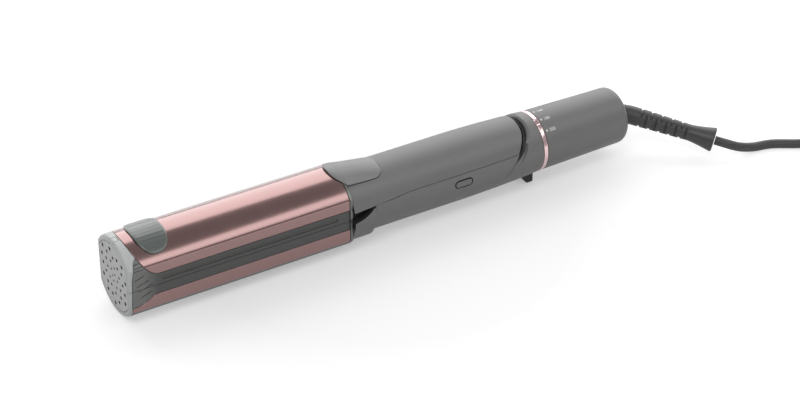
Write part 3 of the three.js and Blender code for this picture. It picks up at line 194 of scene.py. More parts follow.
MM = 0.001
ORIGIN = np.array([-146.85, 0.0, 20.9])
BARREL_RADIUS = 21.0
SIZE_FILE = "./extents.json"


class Arm(Enum):
    """Half of the barrel."""

    UPPER = "upper"
    LOWER = "lower"


class Grain(Enum):
    """Kind of fine relief that a finish carries."""

    MOULDED = "moulded"
    POLISHED = "polished"
    BRUSHED = "brushed"
    SPECKLED = "speckled"
    WOVEN = "woven"


class Body(Enum):
    """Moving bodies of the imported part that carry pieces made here."""

    HOUSING = "housing"
    UPPER_ARM = "upper_arm"
    IMPELLER = "impeller"
    DIAL = "dial"
    BUTTON = "button"
    LOCK = "lock"
    CORD = "cord_swivel"


# Curves and surfaces.


def to_frame(points: Array) -> Array:
    """Station, width and height in millimetres as frame metres: add the origin, then scale."""
    return (points + ORIGIN) * MM


def from_frame(points: Array) -> Array:
    """Frame metres as station, width and height in millimetres: scale, then take the origin away."""
    return points / MM - ORIGIN


def unit(vectors: Array) -> Array:
    """Vectors divided by their lengths."""
    return vectors / np.linalg.norm(vectors, axis=-1, keepdims=True)


def ease(share: Array) -> Array:
    """Cubic step from 0 to 1, level at both ends: three squares less two cubes."""
    share = np.clip(share, 0, 1)
    return share * share * (3 - 2 * share)


def around(count: int) -> Array:
    """Angles of points spread evenly round a circle."""
    return np.linspace(0, 2 * np.pi, count, endpoint=False)


def spline(route: Iterable, per_span: int) -> Array:
    """Smooth curve through a route.

    Each span is a cubic whose end slopes weigh the neighbouring spans by the root of their length.

    Args:
        route: points that the curve goes through.
        per_span: points computed on each span.

    Returns:
        Points on the curve, both ends included.
    """
    knots = np.asarray(list(route), float)
    wide = np.vstack([2 * knots[0] - knots[1], knots, 2 * knots[-1] - knots[-2]])
    step = np.sqrt(np.linalg.norm(np.diff(wide, axis=0), axis=1))[:, None]
    p0, p1, p2, p3 = wide[:-3], wide[1:-2], wide[2:-1], wide[3:]
    d0, d1, d2 = step[:-2], step[1:-1], step[2:]
    start = ((p1 - p0) / d0 - (p2 - p0) / (d0 + d1) + (p2 - p1) / d1) * d1
    end = ((p2 - p1) / d1 - (p3 - p1) / (d1 + d2) + (p3 - p2) / d2) * d1
    t = np.linspace(0, 1, per_span, endpoint=False)[None, :, None]
    p1, p2, start, end = (a[:, None, :] for a in (p1, p2, start, end))
    curve = (2 * t**3 - 3 * t**2 + 1) * p1 + (t**3 - 2 * t**2 + t) * start
    curve = curve + (3 * t**2 - 2 * t**3) * p2 + (t**3 - t**2) * end
    return np.vstack([curve.reshape(-1, knots.shape[1]), knots[-1:]])


def arc_length(path: Array) -> Array:
    """Distance along a path at each of its points, the sum of the steps before it."""
    return np.concatenate([[0.0], np.cumsum(np.linalg.norm(np.diff(path, axis=0), axis=1))])


def at_lengths(path: Array, where: Array) -> Array:
    """Points of a path at given distances along it, each coordinate read off by straight lines."""
    length = arc_length(path)
    return np.stack([np.interp(where, length, column) for column in path.T], axis=-1)


def eased(corners: Iterable, steps: int) -> Array:
    """Polygon with rounded corners.

    A corner with a radius becomes a circular arc, written as a weighted blend of its two ends and
    the corner, with the sine of half the corner angle as the weight.

    Args:
        corners: station, height and radius of each corner; the first and last stay sharp.
        steps: spans in each arc.

    Returns:
        Points of the rounded line.
    """
    given = np.asarray(list(corners), float)
    points, radii = given[:, :2], given[:, 2]
    made = [points[:1]]
    for before, here, after, radius in zip(points[:-2], points[1:-1], points[2:], radii[1:-1]):
        if radius <= 0:
            made.append(here[None])
            continue
        back, ahead = unit(before - here), unit(after - here)
        half = math.acos(float(np.clip(back @ ahead, -1, 1))) / 2
        reach = radius / math.tan(half)
        weight = math.sin(half)
        t = np.linspace(0, 1, steps + 1)[:, None]
        parts = ((1 - t) ** 2, 2 * weight * t * (1 - t), t**2)
        blend = parts[0] * (here + back * reach) + parts[1] * here + parts[2] * (here + ahead * reach)
        made.append(blend / sum(parts))
    made.append(points[-1:])
    return np.vstack(made)


def turned(profile: Array, steps: int) -> Array:
    """Body of revolution about the long axis: each profile point becomes a circle of its radius.

    Args:
        profile: station and radius of each point.
        steps: points round each circle.

    Returns:
        Rings of points, one for each profile point.
    """
    angle = around(steps)
    station, radius = profile[:, :1], profile[:, 1:]
    width, height = radius * np.cos(angle), radius * np.sin(angle)
    return np.stack([np.broadcast_to(station, width.shape), width, height], axis=-1)


def tube(path: Array, radius: Array | float, sides: int, up: tuple = (0, 0, 1)) -> Array:
    """Rings square to a path.

    At each point the side is the given up direction crossed with the heading, and the ring is the
    point plus radius times cosine and sine along side and lift.

    Args:
        path: middle line.
        radius: one radius, one for each point, or one for each point and side.
        sides: points in a ring.
        up: direction that the path never takes.

    Returns:
        Rings of points, one for each point of the path.
    """
    heading = unit(np.gradient(path, axis=0))
    side = unit(np.cross(np.array(up, float), heading))
    lift = np.cross(heading, side)
    angle = around(sides)[None, :, None]
    reach = radius if np.ndim(radius) == 2 else np.broadcast_to(radius, len(path))[:, None]
    spoke = np.cos(angle) * side[:, None] + np.sin(angle) * lift[:, None]
    return path[:, None] + np.asarray(reach)[..., None] * spoke


def signed_volume(points: Array, quads: Array) -> float:
    """Sixth of the sum of triple products over the two triangles of each quad."""
    a, b, c, d = (points[quads[:, k]] for k in range(4))
    return float(np.sum(a * np.cross(b, c)) + np.sum(a * np.cross(c, d))) / 6


def linked(name: str, data: bpy.types.ID) -> Piece:
    """New object of the scene with the given data."""
    made = bpy.data.objects.new(name, data)
    bpy.context.scene.collection.objects.link(made)
    return made


def mesh_from(name: str, points: Array, faces: list, sharp: float | None) -> Piece:
    """Object with the given points and faces, smooth except over edges sharper than an angle.

    Args:
        name: name of the piece.
        points: points in millimetres.
        faces: corner numbers of each face.
        sharp: angle in degrees, or None where all edges are smooth.

    Returns:
        The object, linked to the scene.
    """
    mesh = bpy.data.meshes.new(name)
    mesh.from_pydata(to_frame(points).tolist(), [], faces)
    mesh.validate()
    mesh.shade_smooth()
    if sharp is not None:
        mesh.set_sharp_from_angle(angle=math.radians(sharp))
    return linked(name, mesh)


def skin_over(name: str, rings: Array, loop: bool = False, sharp: float | None = 35) -> Piece:
    """Closed surface over a grid of rings.

    Quads join each ring to the next. A fan over the middle closes each end, or the last ring joins
    the first when the grid is a loop.

    Args:
        name: name of the piece.
        rings: rings of points in millimetres.
        loop: whether the last ring joins the first.
        sharp: angle over which an edge stays sharp.

    Returns:
        The object, faces outwards.
    """
    count, size = rings.shape[:2]
    row = np.arange(count if loop else count - 1)[:, None]
    column = np.arange(size)[None, :]
    after, beside = (row + 1) % count, (column + 1) % size
    corners = (row * size + column, row * size + beside, after * size + beside, after * size + column)
    quads = np.stack(corners, axis=-1).reshape(-1, 4)
    points = rings.reshape(-1, 3)
    faces = quads.tolist()
    if not loop:
        points = np.vstack([points, rings[0].mean(axis=0), rings[-1].mean(axis=0)])
        first, last = len(points) - 2, len(points) - 1
        near, far = np.arange(size), np.arange(size) + (count - 1) * size
        beside = (np.arange(size) + 1) % size
        start = np.stack([np.full(size, first), beside, near], axis=-1)
        end = np.stack([np.full(size, last), far, beside + (count - 1) * size], axis=-1)
        faces = faces + start.tolist() + end.tolist()
    middle = rings.reshape(-1, 3).mean(axis=0)
    if signed_volume(points - middle, quads) < 0:
        faces = [face[::-1] for face in faces]
    return mesh_from(name, points, faces, sharp)


def open_sheet(name: str, grid: Array, thickness: float, edge: float) -> Piece:
    """Sheet of one thickness over an open grid, with rounded edges.

    The grid is the outer face. Its faces are turned away from the long axis, then the sheet is
    thickened inwards and its rim is rounded.

    Args:
        name: name of the piece.
        grid: rows of points in millimetres.
        thickness: thickness of the sheet in millimetres.
        edge: radius of its edges in millimetres.

    Returns:
        The object with its two modifiers.
    """
    rows, columns = grid.shape[:2]
    first = (np.arange(rows - 1)[:, None] * columns + np.arange(columns - 1)).reshape(-1)
    quads = np.stack([first, first + 1, first + columns + 1, first + columns], axis=-1)
    points = grid.reshape(-1, 3)
    a, b, c = (points[quads[:, k]] for k in (0, 1, 2))
    outward = np.sum(np.cross(b - a, c - a)[:, 1:] * a[:, 1:])
    faces = quads if outward > 0 else quads[:, ::-1]
    made = mesh_from(name, points, faces.tolist(), None)
    solidify = made.modifiers.new("Thickness", "SOLIDIFY")
    solidify.thickness = thickness * MM
    solidify.offset = -1
    solidify.use_even_offset = True
    bevel = made.modifiers.new("Edge", "BEVEL")
    bevel.width = edge * MM
    bevel.segments = 3
    bevel.limit_method = "ANGLE"
    bevel.angle_limit = math.radians(40)
    bevel.harden_normals = True
    return made


def joined_copy(node: str, sharp: float = 32) -> Piece:
    """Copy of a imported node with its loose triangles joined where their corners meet.

    Args:
        node: name of the node.
        sharp: angle over which an edge stays sharp.

    Returns:
        The copy, named after the node.
    """
    source = frame["nodes"][node].data
    flat = np.empty(len(source.vertices) * 3)
    source.vertices.foreach_get("co", flat)
    corner = np.empty(len(source.loops), int)
    source.loops.foreach_get("vertex_index", corner)
    snapped = np.round(flat.reshape(-1, 3) / 1e-7).astype(np.int64)
    _, first, number = np.unique(snapped, axis=0, return_index=True, return_inverse=True)
    faces = number.reshape(-1)[corner].reshape(-1, 3)
    whole = (faces[:, 0] != faces[:, 1]) & (faces[:, 1] != faces[:, 2]) & (faces[:, 0] != faces[:, 2])
    points = from_frame(flat.reshape(-1, 3)[first])
    return mesh_from("dressed_" + node, points, faces[whole].tolist(), sharp)


def turned_normals(profile: Iterable) -> NormalField:
    """Normals of a body of revolution.

    The normal is the radial direction tilted back by the slope of the profile, and the distance is
    the radius less that of the profile at the station.

    Args:
        profile: station and radius of each point.

    Returns:
        A function from points to normals and distances.
    """
    table = np.asarray(list(profile), float)
    slope = np.gradient(table[:, 1], table[:, 0])

    def normals(points: Array) -> tuple[Array, Array]:
        """Normals and distances at points in millimetres."""
        radius = np.hypot(points[:, 1], points[:, 2])
        safe = np.maximum(radius, 1e-6)
        tilt = np.interp(points[:, 0], table[:, 0], slope)
        found = unit(np.stack([-tilt, points[:, 1] / safe, points[:, 2] / safe], axis=-1))
        return found, radius - np.interp(points[:, 0], table[:, 0], table[:, 1])

    return normals


def smooth_by_formula(piece: Piece, normals: NormalField) -> None:
    """Gives corner normals by formula to each face that lies on the formula's surface.

    A face lies on it where all its corners are within 0.12 mm and its own normal is within 16
    degrees. Other corners keep the mesh's own normals.

    Args:
        piece: the object.
        normals: function from points to normals and distances.
    """
    mesh = piece.data
    flat = np.empty(len(mesh.vertices) * 3)
    mesh.vertices.foreach_get("co", flat)
    corner = np.empty(len(mesh.loops), int)
    mesh.loops.foreach_get("vertex_index", corner)
    facing = np.empty(len(mesh.polygons) * 3)
    mesh.polygons.foreach_get("normal", facing)
    found, distance = normals(from_frame(flat.reshape(-1, 3)))
    near = np.abs(distance)[corner].reshape(-1, 3).max(axis=1) < 0.12
    mean = found[corner].reshape(-1, 3, 3).mean(axis=1)
    lies = near & (np.sum(mean * facing.reshape(-1, 3), axis=1) > math.cos(math.radians(16)))
    chosen = np.where(np.repeat(lies, 3)[:, None], found[corner], 0.0)
    mesh.normals_split_custom_set(chosen.tolist())


def mark_deep(piece: Piece, deep: Array, finish: Finish) -> None:
    """Gives the chosen faces of a piece another finish.

    Args:
        piece: the object, which has its first finish already.
        deep: whether each face is chosen.
        finish: their finish.
    """
    index = np.empty(len(piece.data.polygons), dtype=np.int32)
    piece.data.polygons.foreach_get("material_index", index)
    index[deep] = len(piece.data.materials)
    piece.data.materials.append(finish.material(finish_name(finish)))
    piece.data.polygons.foreach_set("material_index", index)


def face_normals(piece: Piece) -> Array:
    """Normal of each face of a piece."""
    normal = np.empty(len(piece.data.polygons) * 3)
    piece.data.polygons.foreach_get("normal", normal)
    return normal.reshape(-1, 3)


def face_middles(piece: Piece) -> Array:
    """Middle of each face of a piece, in millimetres."""
    middle = np.empty(len(piece.data.polygons) * 3)
    piece.data.polygons.foreach_get("center", middle)
    return from_frame(middle.reshape(-1, 3))


# Finishes.


@dataclass
class Shader:
    """Shader nodes of one material, added one at a time."""

    name: str
    tree: bpy.types.NodeTree = field(init=False)
    material: bpy.types.Material = field(init=False)

    def __post_init__(self) -> None:
        """Starts an empty node tree."""
        self.material = bpy.data.materials.new(self.name)
        self.material.use_nodes = True
        self.tree = self.material.node_tree
        self.tree.nodes.clear()

    def add(self, kind: str, inputs: dict | None = None, **settings: object) -> bpy.types.Node:
        """Adds a node.

        Args:
            kind: type of the node.
            inputs: value or output socket for each input, by name or number.
            **settings: properties of the node.

        Returns:
            The node.
        """
        node = self.tree.nodes.new(kind)
        for key, value in settings.items():
            setattr(node, key, value)
        for key, value in (inputs or {}).items():
            if isinstance(value, Socket):
                self.tree.links.new(value, node.inputs[key])
            else:
                node.inputs[key].default_value = value
        return node


@dataclass(frozen=True)
class Finish:
    """One surface finish.

    Attributes:
        slot: material slot of the record.
        colour: base colour, linear.
        roughness: middle roughness.
        metallic: 1 for metal, else 0.
        grain: kind of fine relief.
        size: size of the relief in millimetres.
        depth: depth of the relief in millimetres.
        tone: share by which the colour varies.
        haze: amount by which the roughness varies.
        edge: radius in millimetres by which sharp edges look rounded.
        coat: weight of a clear coat.
        tip_lift: share by which the colour is paler at the tip, fading out between 8 and 16 mm.
        dark_below: distance from the long axis in millimetres inside which the colour is painted black, as shade in
            recesses.
    """

    slot: str
    colour: Colour
    roughness: float
    metallic: float = 0.0
    grain: Grain = Grain.MOULDED
    size: float = 0.4
    depth: float = 0.006
    tone: float = 0.05
    haze: float = 0.05
    edge: float = 0.0
    coat: float = 0.0
    tip_lift: float = 0.0
    dark_below: float = 0.0

    def relief(self, shader: Shader, place: Socket) -> Socket:
        """Height of the fine relief.

        Args:
            shader: nodes of the material.
            place: object coordinates.

        Returns:
            Socket of a height between 0 and 1.
        """
        scale = 1 / (self.size * MM)
        if self.grain is Grain.BRUSHED:
            stretched = shader.add("ShaderNodeMapping", {"Vector": place, "Scale": (0.03, 1, 1)})
            place = stretched.outputs[0]
        if self.grain is Grain.SPECKLED:
            cells = shader.add("ShaderNodeTexVoronoi", {"Vector": place, "Scale": scale})
            return cells.outputs["Distance"]
        if self.grain is Grain.WOVEN:
            bands = [
                shader.add("ShaderNodeTexWave", {"Vector": place, "Scale": scale / 6}, bands_direction=axis)
                for axis in ("X", "Z")
            ]
            both = {0: bands[0].outputs[1], 1: bands[1].outputs[1]}
            return shader.add("ShaderNodeMath", both, operation="MULTIPLY").outputs[0]
        fine = {"Vector": place, "Scale": scale, "Detail": 2.0, "Roughness": 0.55}
        return shader.add("ShaderNodeTexNoise", fine).outputs[0]

    def lifted(
        self, shader: Shader, place: Socket, tint: Socket
    ) -> Socket:
        """Colour that is paler at the tip.

        Args:
            shader: nodes of the material.
            place: object coordinates.
            tint: the colour elsewhere.

        Returns:
            Socket of the colour.
        """
        station = shader.add("ShaderNodeSeparateXYZ", {"Vector": place}).outputs["X"]
        ends = {"Value": station, "From Min": (16 + ORIGIN[0]) * MM, "From Max": (8 + ORIGIN[0]) * MM}
        near = shader.add("ShaderNodeMapRange", ends).outputs[0]
        paler = tuple(c * (1 + self.tip_lift) for c in self.colour) + (1.0,)
        return shader.add("ShaderNodeMix", {0: near, 6: tint, 7: paler}, data_type="RGBA").outputs[2]

    def darkened(
        self, shader: Shader, place: Socket, tint: Socket
    ) -> Socket:
        """Colour with painted shade: it turns black towards the long axis, over half a millimetre.

        Args:
            shader: nodes of the material.
            place: object coordinates.
            tint: the colour further out.

        Returns:
            Socket of the colour.
        """
        ends = {"Vector": place, "Location": (0, 0, -ORIGIN[2] * MM), "Scale": (0, 1, 1)}
        across = shader.add("ShaderNodeMapping", ends).outputs[0]
        reach = shader.add("ShaderNodeVectorMath", {0: across}, operation="LENGTH").outputs["Value"]
        ends = {"Value": reach, "From Min": self.dark_below * MM, "From Max": (self.dark_below - 0.5) * MM}
        inside = shader.add("ShaderNodeMapRange", ends).outputs[0]
        black = (0.008, 0.008, 0.008, 1.0)
        return shader.add("ShaderNodeMix", {0: inside, 6: tint, 7: black}, data_type="RGBA").outputs[2]

    def material(self, name: str) -> bpy.types.Material:
        """Material of the finish, made once for each name.

        Broad noise shifts the colour and the roughness, and the fine relief goes through a bump.

        Args:
            name: name of the material.

        Returns:
            The material.
        """
        known = bpy.data.materials.get(name)
        if known is not None:
            return known
        shader = Shader(name)
        place = shader.add("ShaderNodeTexCoord").outputs["Object"]
        broad = shader.add("ShaderNodeTexNoise", {"Vector": place, "Scale": 70.0, "Detail": 3.0}).outputs[0]
        pale = tuple(min(1.0, c * (1 + self.tone)) for c in self.colour) + (1.0,)
        deep = tuple(c * (1 - self.tone) for c in self.colour) + (1.0,)
        fleck = self.relief(shader, place)
        share = fleck if self.grain is Grain.SPECKLED else broad
        tint = shader.add("ShaderNodeMix", {0: share, 6: deep, 7: pale}, data_type="RGBA").outputs[2]
        if self.tip_lift > 0:
            tint = self.lifted(shader, place, tint)
        if self.dark_below > 0:
            tint = self.darkened(shader, place, tint)
        ends = {"Value": broad, "To Min": self.roughness - self.haze, "To Max": self.roughness + self.haze}
        rough = shader.add("ShaderNodeMapRange", ends)
        bump = shader.add("ShaderNodeBump", {"Strength": 1.0, "Distance": self.depth * MM, "Height": fleck})
        if self.edge > 0:
            soft = shader.add("ShaderNodeBevel", {"Radius": self.edge * MM}, samples=6)
            shader.tree.links.new(soft.outputs[0], bump.inputs["Normal"])
        surface = shader.add(
            "ShaderNodeBsdfPrincipled",
            {
                "Base Color": tint,
                "Metallic": self.metallic,
                "Roughness": rough.outputs[0],
                "Coat Weight": self.coat,
                "Coat Roughness": 0.08,
                "Normal": bump.outputs[0],
            },
        )
        shader.add("ShaderNodeOutputMaterial", {"Surface": surface.outputs[0]})
        return shader.material


ROSE_METAL = Finish(
    "rose_metal", (0.350, 0.218, 0.211), 0.21, 1.0, Grain.POLISHED,
    size=2.5, depth=0.002, tone=0.03, haze=0.03, coat=0.6,
)
# Paler rose, for the accent ring and for a painted highlight along the skins' front edges.
ROSE_BRIGHT = replace(ROSE_METAL, colour=(0.92, 0.68, 0.68), roughness=0.20, coat=0.0)
DARK_PLASTIC = Finish("dark_plastic", (0.078, 0.080, 0.077), 0.36, edge=0.2, tip_lift=1.3)
SOLE_PLASTIC = Finish("dark_plastic", (0.15, 0.155, 0.15), 0.4)
INNER_PLASTIC = Finish("dark_plastic", (0.045, 0.046, 0.047), 0.5, size=0.6, depth=0.012, edge=0.2)
# Near-black painted shade, for faces in gaps, pits and recesses where shade falls.
SHADE_PLASTIC = Finish("dark_plastic", (0.008, 0.008, 0.008), 0.7)
LOCK_PLASTIC = Finish("dark_plastic", (0.020, 0.020, 0.021), 0.4, edge=0.25)
REST_RUBBER = Finish("dark_plastic", (0.098, 0.112, 0.104), 0.34, size=0.3, depth=0.004, coat=0.7)
HANDLE_PLASTIC = Finish("handle_plastic", (0.178, 0.176, 0.175), 0.40, size=0.35, depth=0.007, edge=0.25)
# Handle plastic with painted shade: black inside 15.9 mm of the axis, in the groove at the collar.
SHELL_PLASTIC = replace(HANDLE_PLASTIC, dark_below=15.9)
PAD_PLASTIC = Finish("handle_plastic", (0.21, 0.21, 0.21), 0.34, size=0.35, depth=0.006)
TIP_PLASTIC = Finish("pale_plastic", (0.50, 0.52, 0.51), 0.36, size=0.5, depth=0.006, edge=0.3)
GRILLE_PLASTIC = Finish("pale_plastic", (0.54, 0.55, 0.54), 0.45, size=0.5, depth=0.02)
TRIM_METAL = Finish(
    "trim_metal", (0.20, 0.205, 0.20), 0.34, 1.0, Grain.BRUSHED, size=0.3, depth=0.003, edge=0.15
)
PLATE_COATING = Finish(
    "plate_coating", (0.11, 0.10, 0.105), 0.24, 0.6, Grain.SPECKLED,
    size=0.5, depth=0.002, tone=0.4, edge=0.25,
)
BARE_STEEL = replace(TRIM_METAL, slot="steel", colour=(0.56, 0.57, 0.58), roughness=0.28, depth=0.004)
HEATER_METAL = Finish(
    "heater_metal", (0.62, 0.36, 0.22), 0.33, 1.0, Grain.BRUSHED, depth=0.005, edge=0.2
)
CUSHION_SILICONE = Finish("silicone", (0.55, 0.13, 0.07), 0.62, size=0.8, depth=0.02, edge=0.3)
BOARD_LAMINATE = Finish(
    "board", (0.03, 0.15, 0.06), 0.32, 0.0, Grain.WOVEN, size=0.5, depth=0.01, tone=0.15, edge=0.1
)
CORD_RUBBER = Finish("cord_rubber", (0.055, 0.055, 0.057), 0.42, size=0.5, depth=0.01)
TIE_WEBBING = Finish(
    "dark_plastic", (0.03, 0.03, 0.032), 0.85, 0.0, Grain.WOVEN, size=0.9, depth=0.15, tone=0.2
)
PLUG_PLASTIC = Finish("plug_plastic", (0.05, 0.05, 0.052), 0.42, size=0.6, depth=0.015)
PIN_METAL = replace(TRIM_METAL, slot="pin_brass", colour=(0.66, 0.62, 0.52), roughness=0.24, edge=0.0)
MARK_INK = Finish("pale_plastic", (0.66, 0.66, 0.66), 0.5, size=0.3, depth=0.002)


# Studio.


@dataclass
class Studio:
    """Camera, floor, world and lamps.

    Attributes:
        eye: place of the camera in millimetres.
        turn: compass angle of the camera in degrees.
        lift: angle of the camera above the floor in degrees.
        lens: focal length on a 36 mm sensor.
        lamps: name, centre, width, height and brightness of each soft lamp, in metres.
    """

    eye: tuple = (-511.3, -894.1, 709.2)
    turn: float = -30.43
    lift: float = 34.07
    lens: float = 109.52
    lamps: tuple = (
        ("lamp_behind", (0.46, 0.93, 0.73), 2.3, 1.34, 1.85),
        ("lamp_front", (0.66, -0.94, 1.12), 2.6, 0.45, 1.75),
        ("lamp_tip", (-0.68, -0.62, 1.45), 0.9, 0.6, 4.6),
    )

    def build(self) -> None:
        """Sets up the whole studio."""
        self.camera()
        self.floor()
        self.world()
        for lamp in self.lamps:
            self.lamp(*lamp)
        bpy.context.scene.view_settings.view_transform = "Standard"

    def camera(self) -> None:
        """Camera whose right, up and back directions follow from its two angles."""
        turn, lift = math.radians(self.turn), math.radians(self.lift)
        right = np.array([math.cos(turn), math.sin(turn), 0])
        back = np.array([math.sin(turn) * math.cos(lift), -math.cos(turn) * math.cos(lift), math.sin(lift)])
        up = np.cross(back, right)
        data = bpy.data.cameras.new("camera")
        data.lens = self.lens
        data.sensor_width = 36
        data.sensor_fit = "HORIZONTAL"
        made = bpy.data.objects.new("camera", data)
        place = Matrix(np.stack([right, up, back], axis=1).tolist()).to_4x4()
        place.translation = [value * MM for value in self.eye]
        made.matrix_world = place
        bpy.context.scene.collection.objects.link(made)
        bpy.context.scene.camera = made

    def floor(self) -> None:
        """Plain square floor, level with the frame's zero."""
        side = np.linspace(-9.0, 9.0, 37)
        x, y = np.meshgrid(side, side, indexing="ij")
        grid = np.stack([x, y, np.zeros_like(x)], axis=-1).reshape(-1, 3)
        first = (np.arange(36)[:, None] * 37 + np.arange(36)).reshape(-1)
        quads = np.stack([first, first + 37, first + 38, first + 1], axis=-1)
        mesh = bpy.data.meshes.new("floor")
        mesh.from_pydata(grid.tolist(), [], quads.tolist())
        made = bpy.data.objects.new("floor", mesh)
        bpy.context.scene.collection.objects.link(made)
        mesh.materials.append(self.floor_paint())
        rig.stage(made)

    def floor_paint(self) -> bpy.types.Material:
        """Matt paper with a glow that grows away from the middle, so that the object keeps its shadow.

        The camera sees the whole glow, reflections see 0.55 of it, and other rays none.

        Returns:
            The material.
        """
        shader = Shader("floor_paper")
        paper = shader.add("ShaderNodeBsdfDiffuse", {"Color": (0.62, 0.62, 0.62, 1)})
        ray = shader.add("ShaderNodeLightPath")
        seen = {0: ray.outputs["Is Glossy Ray"], 1: 0.55, 2: ray.outputs["Is Camera Ray"]}
        either = shader.add("ShaderNodeMath", seen, operation="MULTIPLY_ADD")
        place = shader.add("ShaderNodeTexCoord").outputs["Object"]
        reach = shader.add("ShaderNodeVectorMath", {0: place}, operation="LENGTH").outputs["Value"]
        ends = {"Value": reach, "From Min": 0.10, "From Max": 0.45, "To Min": 0.37, "To Max": 1.0}
        strength = shader.add("ShaderNodeMapRange", ends)
        seen_strength = {0: either.outputs[0], 1: strength.outputs[0]}
        shown = shader.add("ShaderNodeMath", seen_strength, operation="MULTIPLY")
        glow = shader.add("ShaderNodeEmission", {"Color": (1, 1, 1, 1), "Strength": shown.outputs[0]})
        both = shader.add("ShaderNodeAddShader", {0: paper.outputs[0], 1: glow.outputs[0]})
        shader.add("ShaderNodeOutputMaterial", {"Surface": both.outputs[0]})
        return shader.material

    def world(self) -> None:
        """Even sky, a little darker overhead than at the horizon, and brighter to the camera."""
        world = bpy.data.worlds.new("studio")
        bpy.context.scene.world = world
        world.use_nodes = True
        nodes, links = world.node_tree.nodes, world.node_tree.links
        nodes.clear()
        direction = nodes.new("ShaderNodeTexCoord")
        parts = nodes.new("ShaderNodeSeparateXYZ")
        links.new(direction.outputs["Generated"], parts.inputs[0])
        rise = nodes.new("ShaderNodeMapRange")
        rise.inputs["From Min"].default_value = 0.05
        rise.inputs["From Max"].default_value = 0.75
        rise.inputs["To Min"].default_value = 0.46
        rise.inputs["To Max"].default_value = 0.39
        links.new(parts.outputs["Z"], rise.inputs["Value"])
        ray = nodes.new("ShaderNodeLightPath")
        level = nodes.new("ShaderNodeMix")
        links.new(ray.outputs["Is Camera Ray"], level.inputs[0])
        links.new(rise.outputs[0], level.inputs[2])
        level.inputs[3].default_value = 1.0
        sky = nodes.new("ShaderNodeBackground")
        links.new(level.outputs[0], sky.inputs["Strength"])
        output = nodes.new("ShaderNodeOutputWorld")
        links.new(sky.outputs[0], output.inputs["Surface"])

    def lamp(self, name: str, centre: tuple, width: float, height: float, brightness: float) -> None:
        """Soft lamp that faces the middle; its power is brightness times pi times its area.

        Args:
            name: name of the lamp.
            centre: its middle.
            width: its width.
            height: its height.
            brightness: how bright its face is, where 1 is white.
        """
        data = bpy.data.lights.new(name, "AREA")
        data.shape = "RECTANGLE"
        data.size, data.size_y = width, height
        data.energy = brightness * math.pi * width * height
        made = bpy.data.objects.new(name, data)
        back = unit(np.array(centre))
        right = unit(np.cross([0, 0, 1], back))
        up = np.cross(back, right)
        place = Matrix(np.stack([right, up, back], axis=1).tolist()).to_4x4()
        place.translation = centre
        made.matrix_world = place
        bpy.context.scene.collection.objects.link(made)


# Sub-assemblies.


class Assembly:
    """What all sub-assemblies share: setting a piece on its body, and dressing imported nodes."""

    def settle(self, piece: Piece, finish: Finish, body: Body, *nodes: str) -> Piece:
        """Gives a piece its finish, its body and the nodes that it stands for.

        Args:
            piece: the object.
            finish: its finish.
            body: the body that it moves with.
            *nodes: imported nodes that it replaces.

        Returns:
            The same object.
        """
        piece.data.materials.clear()
        piece.data.materials.append(finish.material(finish_name(finish)))
        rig.ride(piece, body.value)
        if nodes:
            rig.replaces(piece, *nodes)
        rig.slot(piece, finish.slot)
        LOG.info("%s: %d points", piece.name, len(piece.data.vertices))
        return piece

    def dress(self, node: str, finish: Finish) -> None:
        """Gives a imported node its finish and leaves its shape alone."""
        held = frame["nodes"][node]
        for slot in held.material_slots:
            slot.material = finish.material(finish_name(finish))
        LOG.info("%s: packed shape", node)

    def copy(self, node: str, finish: Finish, body: Body) -> Piece:
        """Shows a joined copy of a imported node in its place."""
        return self.settle(joined_copy(node), finish, body, node)


def finish_name(finish: Finish) -> str:
    """Name of a finish's material, after the module constant that holds the finish."""
    return "finish_" + next(key.lower() for key, value in globals().items() if value is finish)


